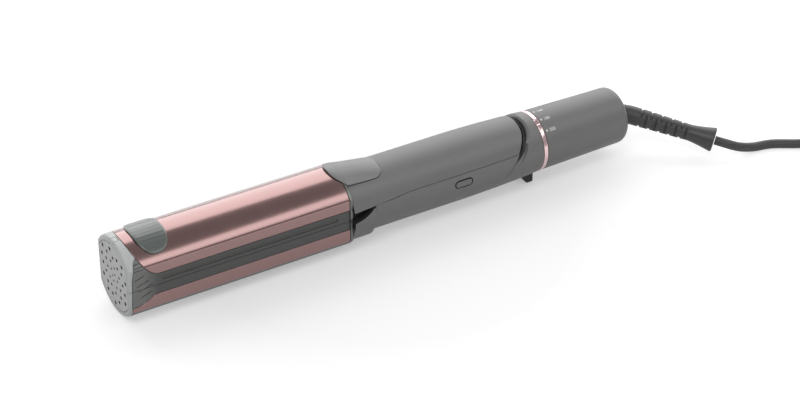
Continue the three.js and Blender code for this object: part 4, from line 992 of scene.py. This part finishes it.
@dataclass
class CordSet(Assembly):
    """Strain relief, cord, tie and plug, which turn with the swivel.

    Attributes:
        relief_route: middle line of the strain relief.
        lead_route: middle line of the cord as far as its coil.
        diameter: thickness of the cord.
        centre: middle of the coil, as station and width.
        layers: layers of the coil.
        turns: turns in a layer.
        outer: largest radius of the middle line.
        inner: smallest radius of the middle line.
        lift: height of the lowest turn over the floor.
        rise: height from layer to layer.
        start: angle of the first turn in degrees.
        tie_angle: place of the tie round the coil in degrees.
        plug_length: length of the plug body.
        tail_bend: points of the tail's bend, counted from the plug.
    """

    relief_route: tuple = (
        (278, 0, 0), (286, 0, 0), (293.7, 0, 0), (300, -3, -1),
        (306.5, -8.3, -2.9), (320.5, -21.2, -7), (334.6, -34.7, -11),
    )
    lead_route: tuple = (
        (335, -35.05, -11.1), (338.9, -38.7, -12.2), (346, -41.5, -15.2), (355, -42.3, -17.9),
        (366, -44.5, -18.3), (380, -52.3, -18.3), (398, -59.5, -18.2), (418.5, -65.8, -17.7),
    )
    diameter: float = 5.0
    centre: tuple = (450.0, -45.0)
    layers: int = 4
    turns: float = 2.3
    outer: float = 34.0
    inner: float = 21.0
    lift: float = 1.0
    rise: float = 5.6
    start: float = 236.5
    tie_angle: float = 118.0
    plug_length: float = 34.0
    tail_bend: tuple = ((-12.9, -38.3, 11.2), (-5.1, -29.6, 6.6), (-1.1, -19.1, 2.1))

    def build(self) -> None:
        """Builds the cord first, then the pieces on it."""
        coil = self.coil()
        place = self.plug_place(coil)
        path = self.route(coil, place)
        body = self.settle(
            skin_over("cord", tube(path, self.diameter / 2, 16)), CORD_RUBBER, Body.CORD,
            "cord_lead", "cord_coil", "cord_tail",
        )
        pieces = [self.plug(place), self.tie(), self.pin(place, -1), self.pin(place, 1)]
        self.relief()
        whole = arc_length(path)[-1]
        LOG.info("cord: %.0f mm", whole)
        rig.cord(
            body, exit=to_frame(path[:1])[0], length=round(whole * MM, 3), diameter=self.diameter * MM,
            far_end="plug", stiffness="medium", lay="coiled", path=to_frame(path).tolist(),
            with_pieces=pieces,
        )

    def coil(self) -> Array:
        """Middle line of the coil.

        The radius runs in and out by turns from layer to layer, and the height rises by one step at
        each change of layer, eased by a cubic over half a turn. A straight run of one diameter is
        added at both ends.

        Returns:
            Points of the coil.
        """
        turn = np.linspace(0, self.layers * self.turns, int(self.layers * self.turns * 36))
        layer = np.minimum(self.layers - 1, np.floor(turn / self.turns))
        share = turn / self.turns - layer
        share = np.where(layer % 2 == 0, share, 1 - share)
        radius = self.outer + (self.inner - self.outer) * share
        change = np.arange(1, self.layers)[:, None] * self.turns
        level = np.sum(ease((turn - change) / 0.5 + 0.5), axis=0)
        angle = math.radians(self.start) + 2 * np.pi * turn
        height = self.diameter / 2 + self.lift + self.rise * level - ORIGIN[2]
        x = self.centre[0] + radius * np.cos(angle)
        y = self.centre[1] + radius * np.sin(angle)
        points = np.stack([x, y, height], axis=-1)
        first, last = unit(points[0] - points[1]), unit(points[-1] - points[-2])
        return np.vstack([points[0] + first * self.diameter, points, points[-1] + last * self.diameter])

    def plug_place(self, coil: Array) -> Array:
        """Middle of the plug's cord end, beside the last turn and flat on the floor."""
        return np.array([coil[-1, 0] + 30, coil[-1, 1] + 50, 7 - ORIGIN[2]])

    def route(self, coil: Array, plug: Array) -> Array:
        """Whole middle line: the lead, the coil, and the tail that ends in the plug.

        Args:
            coil: middle line of the coil.
            plug: middle of the plug's cord end.

        Returns:
            Points of the middle line.
        """
        into, out = unit(coil[0] - coil[1]), unit(coil[-1] - coil[-2])
        lead = spline([*self.lead_route, coil[0] + into * 5.3, coil[0] + into * 0.3], 5)
        bend = plug + np.array(self.tail_bend)
        near = plug - np.array([0, self.diameter, 0])
        tail = spline([coil[-1] + out * 0.3, coil[-1] + out * 5.3, *bend, near, plug + [0, 0.3, 0]], 5)
        return np.vstack([lead, coil[1:-1], tail])

    def relief(self) -> None:
        """Bent sleeve with slots that lie in turn over and under the cord and beside it.

        The radius falls from neck to waist, then flares with the power 1.4 of the way to the end. A
        slot takes 1.1 mm off where the sine, and for the next slot the cosine, of the angle round
        the sleeve is above 0.6. Its walls are eased by a cubic.
        """
        path = spline(self.relief_route, 60)
        whole = arc_length(path)[-1]
        along = np.linspace(0, whole, 620)
        angle = around(56)
        number = np.floor((along - 29.5) / 2.8)
        place = along - 29.5 - 2.8 * number
        gap = np.clip(np.minimum(place + 0.1, 1.2 - place) / 0.26, 0, 1)
        gap = np.where((number >= 0) & (number < 10), gap * gap * (3 - 2 * gap), 0)
        facing = np.where(number[:, None] % 2 == 0, np.abs(np.sin(angle)), np.abs(np.cos(angle)))
        across = np.clip((facing - 0.5) / 0.16, 0, 1)
        depth = 1.1 * gap[:, None] * across * across * (3 - 2 * across)
        flare = np.clip((along - (whole - 14)) / 14, 0, 1)
        radius = np.interp(along, [29.5, 57.5], [5.0, 4.4])
        radius = np.where(flare > 0, 4.4 + 2.35 * flare**1.4, radius)
        radius = radius - 0.8 * np.clip(1 - (whole - along) / 0.8, 0, 1) ** 2
        rings = tube(at_lengths(path, along), radius[:, None] - depth, 56)
        made = skin_over("strain_relief_sleeve", rings, sharp=60)
        self.settle(made, CORD_RUBBER, Body.CORD, "strain_relief")

    def plug(self, place: Array) -> Piece:
        """Two-pin plug body: rounded rectangles that widen from the cord end, with grip ribs."""
        along = np.concatenate([np.linspace(0, 33.4, 60), [33.75, self.plug_length]])
        width = np.interp(along, [0, 6, 14, 34], [8.6, 9.4, 24, 30])
        height = np.interp(along, [0, 6, 14, 34], [8.6, 9.4, 14, 14])
        grip = 0.35 * np.sin(np.clip((along - 17) / 12, 0, 1) * 4 * np.pi) ** 2
        tip = np.where(along >= 33.9, 0.35, 0.0)
        angle = around(48)
        cosine = np.sign(np.cos(angle)) * np.abs(np.cos(angle)) ** 0.45
        sine = np.sign(np.sin(angle)) * np.abs(np.sin(angle)) ** 0.45
        x = place[0] + (width / 2 - grip - tip)[:, None] * cosine
        z = place[2] + (height / 2 - grip * 0.4 - tip)[:, None] * sine
        y = np.broadcast_to((place[1] + along)[:, None], x.shape)
        made = skin_over("plug_grip", np.stack([x, y, z], axis=-1), sharp=50)
        return self.settle(made, PLUG_PLASTIC, Body.CORD, "plug_body")

    def pin(self, place: Array, side: int) -> Piece:
        """Plug pin: a turned profile with a rounded tip, its axis laid along the width direction."""
        line = eased([(0, 2.4, 0), (19, 2.4, 1.6), (19, 0.2, 0)], 8)
        rings = turned(line, 32)[..., [1, 0, 2]] + [place[0] + side * 9.5, place[1] + 34.3, place[2]]
        name = "left" if side < 0 else "right"
        return self.settle(skin_over("pin_" + name, rings), PIN_METAL, Body.CORD, "plug_pin_" + name)

    def tie(self) -> Piece:
        """Strap round the coil: a rounded rectangle across the bundle, swept with a thin section."""
        reach = self.diameter / 2 + 0.3
        low, high = self.lift - 0.3, self.lift + self.diameter + self.rise * (self.layers - 1) + 0.3
        near, far = self.inner - reach, self.outer + reach
        angle = np.linspace(0, np.pi / 2, 9)
        starts = ((far, high, 0), (near, high, 1), (near, low, 2), (far, low, 3))
        loops = []
        for radial, height, quarter in starts:
            middle_r = radial - 2.2 if radial == far else radial + 2.2
            middle_z = height - 2.2 if height == high else height + 2.2
            loops.append(np.stack([
                np.full(9, middle_r), np.full(9, middle_z),
                np.cos(angle + quarter * np.pi / 2), np.sin(angle + quarter * np.pi / 2),
            ], axis=-1))
        line = np.vstack(loops)[:, None, :]
        section = np.array([(2.2, -3), (2.5, -3.0), (2.8, -2.9), (2.8, 2.9), (2.5, 3.0), (2.2, 3)])
        radius, across = section[None, :, 0], section[None, :, 1]
        outward = line[..., 0] + radius * line[..., 2]
        height = line[..., 1] + radius * line[..., 3]
        turn = math.radians(self.tie_angle)
        x = self.centre[0] + outward * math.cos(turn) - across * math.sin(turn)
        y = self.centre[1] + outward * math.sin(turn) + across * math.cos(turn)
        made = skin_over("tie_strap", np.stack([x, y, height - ORIGIN[2]], axis=-1), loop=True)
        return self.settle(made, TIE_WEBBING, Body.CORD, "cord_tie")


@dataclass
class Barrel(Assembly):
    """Metal skins, frames, caps, trims, plates and heaters of both arms.

    Attributes:
        radius: radius of the round parts.
        flat: half width over the upright flats.
        end: station where the skins end.
        thickness: thickness of a skin.
        edge: radius of a skin's edges.
    """

    radius: float = BARREL_RADIUS
    flat: float = 17.23
    end: float = 121.7
    thickness: float = 1.2
    edge: float = 0.32

    def build(self) -> None:
        """Builds both arms."""
        upper = self.settle(self.upper_skin(), ROSE_METAL, Body.UPPER_ARM, "upper_barrel_skin")
        lower = self.settle(self.lower_skin(), ROSE_METAL, Body.HOUSING, "lower_barrel_skin")
        middle = face_middles(lower)
        # The underside of the lower skin is painted grey.
        mark_deep(lower, middle[:, 2] < -0.74 * np.abs(middle[:, 1]), SOLE_PLASTIC)
        for skin in (upper, lower):
            normal, middle = face_normals(skin), face_middles(skin)
            # Painted highlight: the skins' front edges take the paler rose.
            bare = (normal[:, 0] < -0.35) & (middle[:, 0] < 17.3) & (middle[:, 2] > -11)
            mark_deep(skin, bare, ROSE_BRIGHT)
        for arm, body in ((Arm.UPPER, Body.UPPER_ARM), (Arm.LOWER, Body.HOUSING)):
            name = arm.value
            inner = self.copy(name + "_barrel_frame", DARK_PLASTIC, body)
            # Painted shade: the frame's faces behind the skins' rear end, above the lower strip, are near black.
            middle = face_middles(inner)
            mark_deep(inner, (middle[:, 0] > self.end + 0.1) & (middle[:, 2] > -5), SHADE_PLASTIC)
            self.copy(name + "_tip_cap", TIP_PLASTIC, body)
            self.copy(name + "_barrel_trim", TRIM_METAL, body)
            self.dress(name + "_plate", PLATE_COATING)
            self.dress(name + "_heater", HEATER_METAL)
            for end in ("front", "rear"):
                self.press(self.copy(f"{name}_cushion_{end}", CUSHION_SILICONE, body), arm)

    def press(self, pad: Piece, arm: Arm) -> None:
        """Lets a cushion flatten away from its plate, from 3 mm to 2.2 mm, as the plate gives.

        Args:
            pad: the cushion.
            arm: the arm that holds it.
        """
        levels = [corner.co.z for corner in pad.data.vertices]
        held = max(levels) if arm is Arm.UPPER else min(levels)
        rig.squash(pad, arm.value + "_plate_float", axis=(0, 0, 1), anchor=(0, 0, held), keep=0.73)

    def section(self) -> tuple[Array, Array]:
        """Half section of the barrel from the top centre to the bottom centre.

        An arc, an upright flat and an arc, read at steps of 0.1 mm, then averaged over 1.5 mm so
        that the creases between them are eased.

        Returns:
            Width and height of its points, and the distance along it.
        """
        crease = math.asin(self.flat / self.radius)
        turn = np.linspace(0, crease, 300)
        top = np.stack([self.radius * np.sin(turn), self.radius * np.cos(turn)], axis=-1)
        line = np.vstack([top, top[::-1] * [1, -1]])
        length = arc_length(line)[-1]
        points = at_lengths(line, np.arange(0, length, 0.1))
        wide = np.vstack([points[15:0:-1] * [-1, 1], points, points[-2:-17:-1] * [-1, 1]])
        kernel = np.ones(15) / 15
        eased_line = np.stack([np.convolve(column, kernel, "same") for column in wide.T], axis=-1)[15:-15]
        return eased_line, arc_length(eased_line)

    def skin_grid(self, reach: float, front: Callable[[Array], Array], upper: bool) -> Array:
        """Outer face of a skin: the section carried from the front edge to the rear edge.

        A point is at the front station of its height plus a share of what is left to the end.

        Args:
            reach: distance along the section from the middle to the lower or upper edge.
            front: station of the front edge for each height.
            upper: whether the middle is at the top.

        Returns:
            Rows of points.
        """
        line, length = self.section()
        count = int(reach / 0.42)
        along = np.linspace(-reach, reach, 2 * count + 1)
        where = np.abs(along) if upper else length[-1] - np.abs(along)
        width = np.interp(where, length, line[:, 0]) * np.sign(along)
        height = np.maximum(np.interp(where, length, line[:, 1]), -ORIGIN[2])
        start = front(height)
        share = np.concatenate([[0, 0.009, 0.02], np.linspace(0.035, 0.98, 40), [0.99, 1]])[:, None]
        station = start + (self.end - start) * share
        return np.stack(np.broadcast_arrays(station, width, height), axis=-1)

    def upper_skin(self) -> Piece:
        """Upper skin, whose front edge is a quarter of an ellipse over the distance from the top."""
        line, length = self.section()
        reach = float(np.interp(-6.5, -line[:, 1], length))
        round_part = self.radius * math.asin(self.flat / self.radius)
        along = np.linspace(0, 25.7, 120)
        height = np.where(
            along < round_part,
            self.radius * np.cos(along / self.radius),
            math.sqrt(self.radius**2 - self.flat**2) - (along - round_part),
        )
        station = 17.4 - 13 * np.sqrt(np.clip(1 - (along / 25.7) ** 2, 0, 1))
        grid = self.skin_grid(reach, lambda z: np.interp(-z, -height, station), True)
        return open_sheet("upper_skin_metal", grid, self.thickness, self.edge)

    def lower_skin(self) -> Piece:
        """Lower skin, whose front edge follows the cap below and curves back up to the strip."""
        line, length = self.section()
        reach = float(length[-1] - np.interp(5.2, -line[:, 1], length))
        cap = [(-21, 2.05), (-14, 1.8), (-10.4, 1.72), (-9.72, 1.75)]
        curve = [(-9.6, 3.5), (-9.4, 5.4), (-8.7, 8.1), (-7.2, 10.8), (-5.7, 13.4), (-5.2, 16)]
        table = np.vstack([cap, spline(curve, 8)])
        grid = self.skin_grid(reach, lambda z: np.interp(z, table[:, 0], table[:, 1]), False)
        return open_sheet("lower_skin_metal", grid, self.thickness, self.edge)


@dataclass
class TipGrille(Assembly):
    """Perforated disc in the tip.

    Attributes:
        radius: radius of the disc.
        flat: half width over its upright sides.
        front: station of its face.
        back: station of its rear.
        holes: number of holes.
        spread: radius of the outermost hole.
    """

    radius: float = 18.1
    flat: float = 15.3
    front: float = 0.1
    back: float = 1.9
    holes: int = 38
    spread: float = 16.4

    def build(self) -> None:
        """Builds the disc and its small tab."""
        made = self.settle(self.disc(), GRILLE_PLASTIC, Body.HOUSING, "tip_grille")
        station = face_middles(made)[:, 0]
        # Painted shade: the walls and floors of the hole pits are near black.
        mark_deep(made, (station > self.front + 0.12) & (station < self.front + 1.6), SHADE_PLASTIC)
        self.settle(self.tab(), TIP_PLASTIC, Body.HOUSING)

    def hole_places(self) -> tuple[Array, Array]:
        """Middle and radius of each hole: a sunflower spiral, denser and finer in the middle."""
        number = np.arange(self.holes)
        share = ((number + 0.3) / self.holes) ** 0.6
        angle = number * np.pi * (3 - math.sqrt(5))
        places = self.spread * share[:, None] * np.stack([np.cos(angle), np.sin(angle)], axis=-1)
        keep = np.abs(places[:, 0]) < self.flat - 1.4
        return places[keep], (0.42 + 0.58 * share)[keep]

    def disc(self) -> Piece:
        """Face as a height over a grid: flat, with a deep pit at each hole, then a rim and a back.

        The grid runs over width and over a share of the disc's height at that width. A pit's depth
        eases from 0 to 1.5 mm over the edge of its hole.

        Returns:
            The object.
        """
        width = np.linspace(-self.flat, self.flat, 270)
        top = np.sqrt(self.radius**2 - width**2)
        share = np.linspace(-1, 1, 310)
        y = np.broadcast_to(width[:, None], (270, 310))
        z = top[:, None] * share
        places, sizes = self.hole_places()
        distance = np.hypot(y[..., None] - places[:, 0], z[..., None] - places[:, 1]) - sizes
        x = self.front + 1.5 * ease(0.5 - distance.min(axis=-1) / 0.12)
        rows, columns = y.shape
        number = np.arange(rows * columns).reshape(rows, columns)
        quads = np.stack([number[:-1, :-1], number[1:, :-1], number[1:, 1:], number[:-1, 1:]], axis=-1)
        rim = np.concatenate([number[0, :-1], number[:-1, -1], number[-1, :0:-1], number[:0:-1, 0]])
        points = np.stack([x, y, z], axis=-1).reshape(-1, 3)
        behind = points[rim] * [0, 1, 1] + [self.back, 0, 0]
        start = len(points)
        ahead = np.roll(np.arange(len(rim)), -1)
        side = np.stack([rim, rim[ahead], start + ahead, start + np.arange(len(rim))], axis=-1)
        middle = start + len(rim)
        fan = np.stack([start + np.arange(len(rim)), start + ahead, np.full(len(rim), middle)], axis=-1)
        points = np.vstack([points, behind, [[self.back, 0, 0]]])
        faces = quads.reshape(-1, 4)[:, ::-1].tolist() + side[:, ::-1].tolist() + fan[:, ::-1].tolist()
        return mesh_from("grille_disc", points, faces, 50)

    def tab(self) -> Piece:
        """Small tab over the top of the rim: the barrel's rounded front edge, 3.4 mm wide."""
        turn = np.linspace(0, np.pi / 2, 8)
        outer = np.stack([1.7 * (1 - np.cos(turn)), BARREL_RADIUS - 1.7 * (1 - np.sin(turn))], axis=-1)
        behind = [(3.1, 21.0), (3.4, 20.8), (3.4, 19.8), (2.0, 19.8), (1.95, 17.6), (0.15, 17.6)]
        line = np.vstack([outer[1:], behind])
        across = np.linspace(-1.7, 1.7, 9)
        height = np.sqrt(line[:, 1][None] ** 2 - across[:, None] ** 2)
        station = np.broadcast_to(line[:, 0][None], height.shape)
        width = np.broadcast_to(across[:, None], height.shape)
        return skin_over("grille_tab", np.stack([station, width, height], axis=-1), sharp=40)


@dataclass
class FingerRest(Assembly):
    """Ribbed rest on the top skin.

    Attributes:
        centre: station of its middle.
        half: half of its length.
        arc: half of its width along the skin.
        power: squareness of its outline.
        rise: its height over the skin.
        ribs: number of ribs across half of it.
        depth: half height of a rib.
    """

    centre: float = 18.2
    half: float = 8.5
    arc: float = 15.4
    power: float = 2.4
    rise: float = 0.8
    ribs: int = 13
    depth: float = 0.022

    def build(self) -> None:
        """Builds the rest."""
        self.settle(self.pad(), REST_RUBBER, Body.UPPER_ARM, "finger_rest")

    def pad(self) -> Piece:
        """Closed pad: a squarish oval outline wrapped on the barrel, crowned, with ribs along it.

        The height over the skin is the rise eased down at the rim, plus a cosine of the distance
        across for the ribs, which fade out at the rim.

        Returns:
            The object.
        """
        share = -np.cos(np.linspace(0, np.pi, 72)) * 0.996
        reach = self.arc * (1 - np.abs(share) ** self.power) ** (1 / self.power)
        across = np.linspace(-1, 1, 241)
        arc = reach[:, None] * across
        rim = 1 - np.maximum(np.abs(share)[:, None], np.abs(across))
        lip = np.clip(5 * rim, 0, 1)
        lip = np.sqrt(1 - (1 - lip) ** 2)
        wave = self.depth * np.cos(np.pi * arc * self.ribs / self.arc) * np.clip(8 * rim - 0.4, 0, 1)
        outer = 21.3 + 0.2 + (self.rise - 0.3 - self.depth) * lip + wave
        angle = arc / BARREL_RADIUS
        top = np.stack([
            np.broadcast_to((self.centre + self.half * share)[:, None], arc.shape),
            outer * np.sin(angle), outer * np.cos(angle),
        ], axis=-1)
        under = top.copy()
        under[..., 1], under[..., 2] = 21.3 * np.sin(angle), 21.3 * np.cos(angle)
        return skin_over("rest_pad", np.concatenate([top, under[:, ::-1]], axis=1), sharp=60)


@dataclass
class Handle(Assembly):
    """Handle shells, thumb pad, button, lock slider and what is inside.

    Attributes:
        lower_profile: station and radius of the lower shell.
        upper_profile: station and radius of the upper cover.
        crown: station and level of the thumb pad's crown.
        rim: station and level of its side edges.
        pad_front: station of its front lip.
        pad_shoulder: station where it reaches its full width.
        pad_rear: station of its rear.
        pad_angle: half of its full width in degrees.
    """

    lower_profile: tuple = (
        (123.7, 19.8), (135.4, 19.8), (136, 19.2), (136.6, 18.2), (137.4, 17.9),
        (195, 17.9), (212, 17.6), (229, 17.0), (238.2, 16.33),
    )
    upper_profile: tuple = (
        (123.7, 19.5), (130, 18.95), (137, 18.4), (144, 18.05), (151, 17.9),
        (195, 17.9), (212, 17.55), (222, 17.1), (232, 16.6),
    )
    crown: tuple = (
        (118, 22.25), (121, 22.3), (124, 22.2), (130, 21.4), (137, 20.2), (143, 19.0), (146, 18.35),
    )
    rim: tuple = ((118, 21.9), (121, 21.7), (124, 20.9), (130, 19.7), (137, 19.0), (143, 18.5), (146, 18.2))
    pad_front: float = 118.0
    pad_shoulder: float = 124.0
    pad_rear: float = 146.0
    pad_angle: float = 33.0

    def build(self) -> None:
        """Builds the shells, the controls and the inside."""
        for node, profile, body in (
            ("lower_housing", self.lower_profile, Body.HOUSING),
            ("upper_cover", self.upper_profile, Body.UPPER_ARM),
        ):
            shell = self.copy(node, SHELL_PLASTIC, body)
            smooth_by_formula(shell, turned_normals(profile))
            middle = face_middles(shell)
            _, level = turned_normals(profile)(middle)
            # Painted shade: faces that lie below the turned profile, in the wedge under the thumb pad and round the
            # button hole, are near black.
            wedge = (middle[:, 0] < 150) & (middle[:, 2] > -5)
            hole = np.abs(middle[:, 0] - 188.3) < 6.5
            mark_deep(shell, (level < -0.35) & (wedge | hole), SHADE_PLASTIC)
        self.settle(self.thumb_pad(), PAD_PLASTIC, Body.UPPER_ARM, "thumb_pad")
        button = self.settle(self.button(), HANDLE_PLASTIC, Body.BUTTON, "power_button")
        # Painted shade: the button's sides behind its face are near black, for the gap round it.
        mark_deep(button, face_middles(button)[:, 1] > -18.04, SHADE_PLASTIC)
        self.copy("lock_slider", LOCK_PLASTIC, Body.LOCK)
        self.inside()

    def inside(self) -> None:
        """Pin, spring, fan, motor, board and switch."""
        self.copy("hinge_pin", BARE_STEEL, Body.HOUSING)
        self.settle(self.spring(), BARE_STEEL, Body.HOUSING, "arm_spring")
        self.copy("fan_duct", INNER_PLASTIC, Body.HOUSING)
        self.copy("fan_motor", BARE_STEEL, Body.HOUSING)
        self.copy("fan_impeller", TIP_PLASTIC, Body.IMPELLER)
        self.dress("circuit_board", BOARD_LAMINATE)
        self.dress("button_switch", INNER_PLASTIC)

    def spring(self) -> Piece:
        """Wound spring: a screw line of four turns about the hinge axis, carried as a round wire."""
        turn = np.linspace(0, 4, 145)
        angle = 2 * np.pi * turn
        span = 5.2 - 0.6 - 0.3
        station, height = 222 + 2.9 * np.cos(angle), 4 + 2.9 * np.sin(angle)
        line = np.stack([station, -span + span * turn / 2, height], axis=-1)
        return skin_over("spring_wire", tube(line, 0.6, 12, up=(0, 1, 0)), sharp=60)

    def pad_half_angle(self, station: Array) -> Array:
        """Half width of the pad in degrees: a root law up to the shoulder, full, then an ellipse."""
        rear = self.pad_rear - 6
        front = 5 + (self.pad_angle - 5) * np.sqrt(
            np.clip((station - self.pad_front) / (self.pad_shoulder - self.pad_front), 0, 1)
        )
        back = self.pad_angle - 19 + 19 * np.sqrt(np.clip(1 - ((station - rear) / 6) ** 2, 0, 1))
        return np.where(station < self.pad_shoulder, front, np.where(station > rear, back, self.pad_angle))

    def thumb_pad(self) -> Piece:
        """Crowned pad: its level falls from crown to rim with the square of the distance across.

        Returns:
            The object.
        """
        front = self.pad_front + 6 * np.linspace(0, 1, 12) ** 2
        back = 140 + 6 * np.sin(np.linspace(0, np.pi / 2, 12))
        station = np.concatenate([front, np.linspace(124.6, 139.5, 28), back])
        across = np.linspace(-1, 1, 41)
        angle = np.radians(self.pad_half_angle(station))[:, None] * across
        crown = np.interp(station, *np.array(self.crown).T)
        rim = np.interp(station, *np.array(self.rim).T)
        crown, rim = (np.convolve(np.pad(line, 2, "edge"), np.ones(5) / 5, "valid") for line in (crown, rim))
        level = crown[:, None] + (rim - crown)[:, None] * across**2
        base = np.where(station < 123.95, 21.3, np.interp(station, *np.array(self.upper_profile).T) - 1.1)
        base = np.broadcast_to(base[:, None], angle.shape)
        place = np.broadcast_to(station[:, None], angle.shape)
        top = np.stack([place, level * np.sin(angle), level * np.cos(angle)], axis=-1)
        under = np.stack([place, base * np.sin(angle), base * np.cos(angle)], axis=-1)
        return skin_over("thumb_rest_pad", np.concatenate([top, under[:, ::-1]], axis=1), sharp=45)

    def button(self) -> Piece:
        """Pill-shaped button: outlines of one pill, grown or drawn in, stacked from back to face.

        Returns:
            The object.
        """
        depth = [(-13.4, 1.2), (-15.3, 1.2), (-15.3, 0.0), (-17.4, 0.0)]
        turn = np.linspace(0, np.pi / 2, 7)[1:]
        face = [(-17.4 - 0.7 * math.sin(t), -0.7 * (1 - math.cos(t))) for t in turn]
        level = np.array(depth + face + [(-18.08, -1.2)])
        angle = around(64)
        run = np.where(np.cos(angle) >= 0, 1.0, -1.0) * (5.1 - 2.05)
        radius = 2.05 + level[:, 1:]
        x = 188.3 + run + radius * np.cos(angle)
        z = 0.8 + radius * np.sin(angle)
        y = np.broadcast_to(level[:, :1], x.shape)
        return skin_over("button_cap", np.stack([x, y, z], axis=-1), sharp=40)


@dataclass
class DialEnd(Assembly):
    """Spindle, rose ring, dial with its marks, and the switch inside.

    Attributes:
        marks: angle in degrees and label of each heat mark.
    """

    marks: tuple = ((95.0, "160"), (70.0, "180"), (46.0, "200"))

    def build(self) -> None:
        """Builds the ring, the dial and the marks."""
        self.copy("dial_spindle", INNER_PLASTIC, Body.HOUSING)
        self.copy("dial_switch", INNER_PLASTIC, Body.HOUSING)
        self.settle(self.ring(), ROSE_BRIGHT, Body.HOUSING, "accent_ring")
        self.settle(self.dial(), HANDLE_PLASTIC, Body.DIAL, "temperature_dial")
        for number, (angle, label) in enumerate(self.marks):
            self.settle(self.label(label, angle, number), MARK_INK, Body.DIAL)
            self.settle(self.dot(angle, number), MARK_INK, Body.DIAL)

    def ring(self) -> Piece:
        """Turned ring whose outer face dips by 0.8 mm in a short notch at 68 degrees."""
        line = eased([
            (240.8, 12, 0), (240.8, 16.33, 0.35), (238.5, 16.33, 0.35), (238.5, 12, 0),
        ], 6)
        rings = turned(np.vstack([line, [(238.5, 7.7), (240.8, 7.7)]]), 360)
        angle = np.degrees(np.arctan2(rings[..., 2], -rings[..., 1]))
        radius = np.hypot(rings[..., 1], rings[..., 2])
        edge = np.clip((6.2 - np.abs(angle - 68)) / 0.8, 0, 1)
        length = np.clip((240.3 - rings[..., 0]) / 0.3, 0, 1)
        dip = edge * length * np.where(radius > 15.5, 0.8, 0)
        rings[..., 1:] *= (1 - dip / radius)[..., None]
        return skin_over("ring_band", rings, loop=True, sharp=50)

    def dial(self) -> Piece:
        """Turned dial: a slight cone with a wide round at its rear, hollow for the switch."""
        line = eased([
            (241.1, 7.7, 0), (241.1, 16.2, 0.5), (258, 15.95, 0), (270, 15.68, 0), (280, 15.48, 0),
            (293.7, 15.3, 4.2), (293.7, 10.8, 0), (288.3, 10.8, 0), (285.3, 12.7, 0),
            (252, 13.8, 0), (250, 9.7, 0), (250, 7.7, 0),
        ], 12)
        return skin_over("dial_shell", turned(line, 128), loop=True, sharp=30)

    def wrap(self, points: Array, station: float, angle: float) -> Array:
        """Flat artwork wrapped on the dial: across becomes station, up becomes angle, depth radius.

        Args:
            points: flat points in millimetres.
            station: station of the artwork's start.
            angle: angle of its middle in degrees.

        Returns:
            Points on the dial.
        """
        x = station + points[:, 0]
        surface = np.interp(x, (241.1, 258), (16.2, 15.95))
        radius = surface + points[:, 2]
        turn = math.radians(angle) + points[:, 1] / surface
        return np.stack([x, -radius * np.cos(turn), radius * np.sin(turn)], axis=-1)

    def label(self, text: str, angle: float, number: int) -> Piece:
        """Heat figure as a thin raised print that reads along the dial.

        Args:
            text: the figure.
            angle: its place in degrees.
            number: count of the mark.

        Returns:
            The object.
        """
        curve = bpy.data.curves.new("figure", "FONT")
        curve.body = text
        curve.size = 2.5
        curve.extrude = 0.05
        curve.offset = 0.03
        curve.resolution_u = 4
        flat = linked("figure", curve)
        bpy.context.view_layer.update()
        mesh = bpy.data.meshes.new_from_object(flat.evaluated_get(bpy.context.evaluated_depsgraph_get()))
        bpy.data.objects.remove(flat)
        points = np.empty(len(mesh.vertices) * 3)
        mesh.vertices.foreach_get("co", points)
        points = points.reshape(-1, 3) - [0, 0.88, 0]
        wrapped = to_frame(self.wrap(points, 244.2, angle))
        mesh.vertices.foreach_set("co", wrapped.reshape(-1))
        mesh.update()
        mesh.name = f"heat_figure_{number}"
        return linked(mesh.name, mesh)

    def dot(self, angle: float, number: int) -> Piece:
        """Heat dot: a low round button of print, wrapped on the dial."""
        turn = around(24)
        levels = np.array([(0.6, -0.04), (0.6, 0.03), (0.52, 0.05)])
        flat = [np.stack([r * np.cos(turn), r * np.sin(turn), np.full(24, h)], axis=-1) for r, h in levels]
        rings = np.array([self.wrap(points, 242.7, angle) for points in flat])
        return skin_over(f"heat_dot_{number}", rings, sharp=60)


def write_sizes() -> None:
    """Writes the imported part's box and the dressed part's box, as plain lists."""
    boxes = {"cad": [list(corner) for corner in CAD_BOX], "visual": [list(corner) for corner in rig.bounds()]}
    with open(SIZE_FILE, "w") as out:
        json.dump(boxes, out, indent=1)


def main() -> None:
    """Builds the studio, then each sub-assembly, and writes the boxes."""
    logging.basicConfig(level=logging.INFO, format="%(name)s: %(message)s")
    Studio().build()
    for assembly in (CordSet(), Barrel(), TipGrille(), FingerRest(), Handle(), DialEnd()):
        LOG.info("building %s", type(assembly).__name__)
        assembly.build()
    write_sizes()


if __name__ == "__main__":
    main()
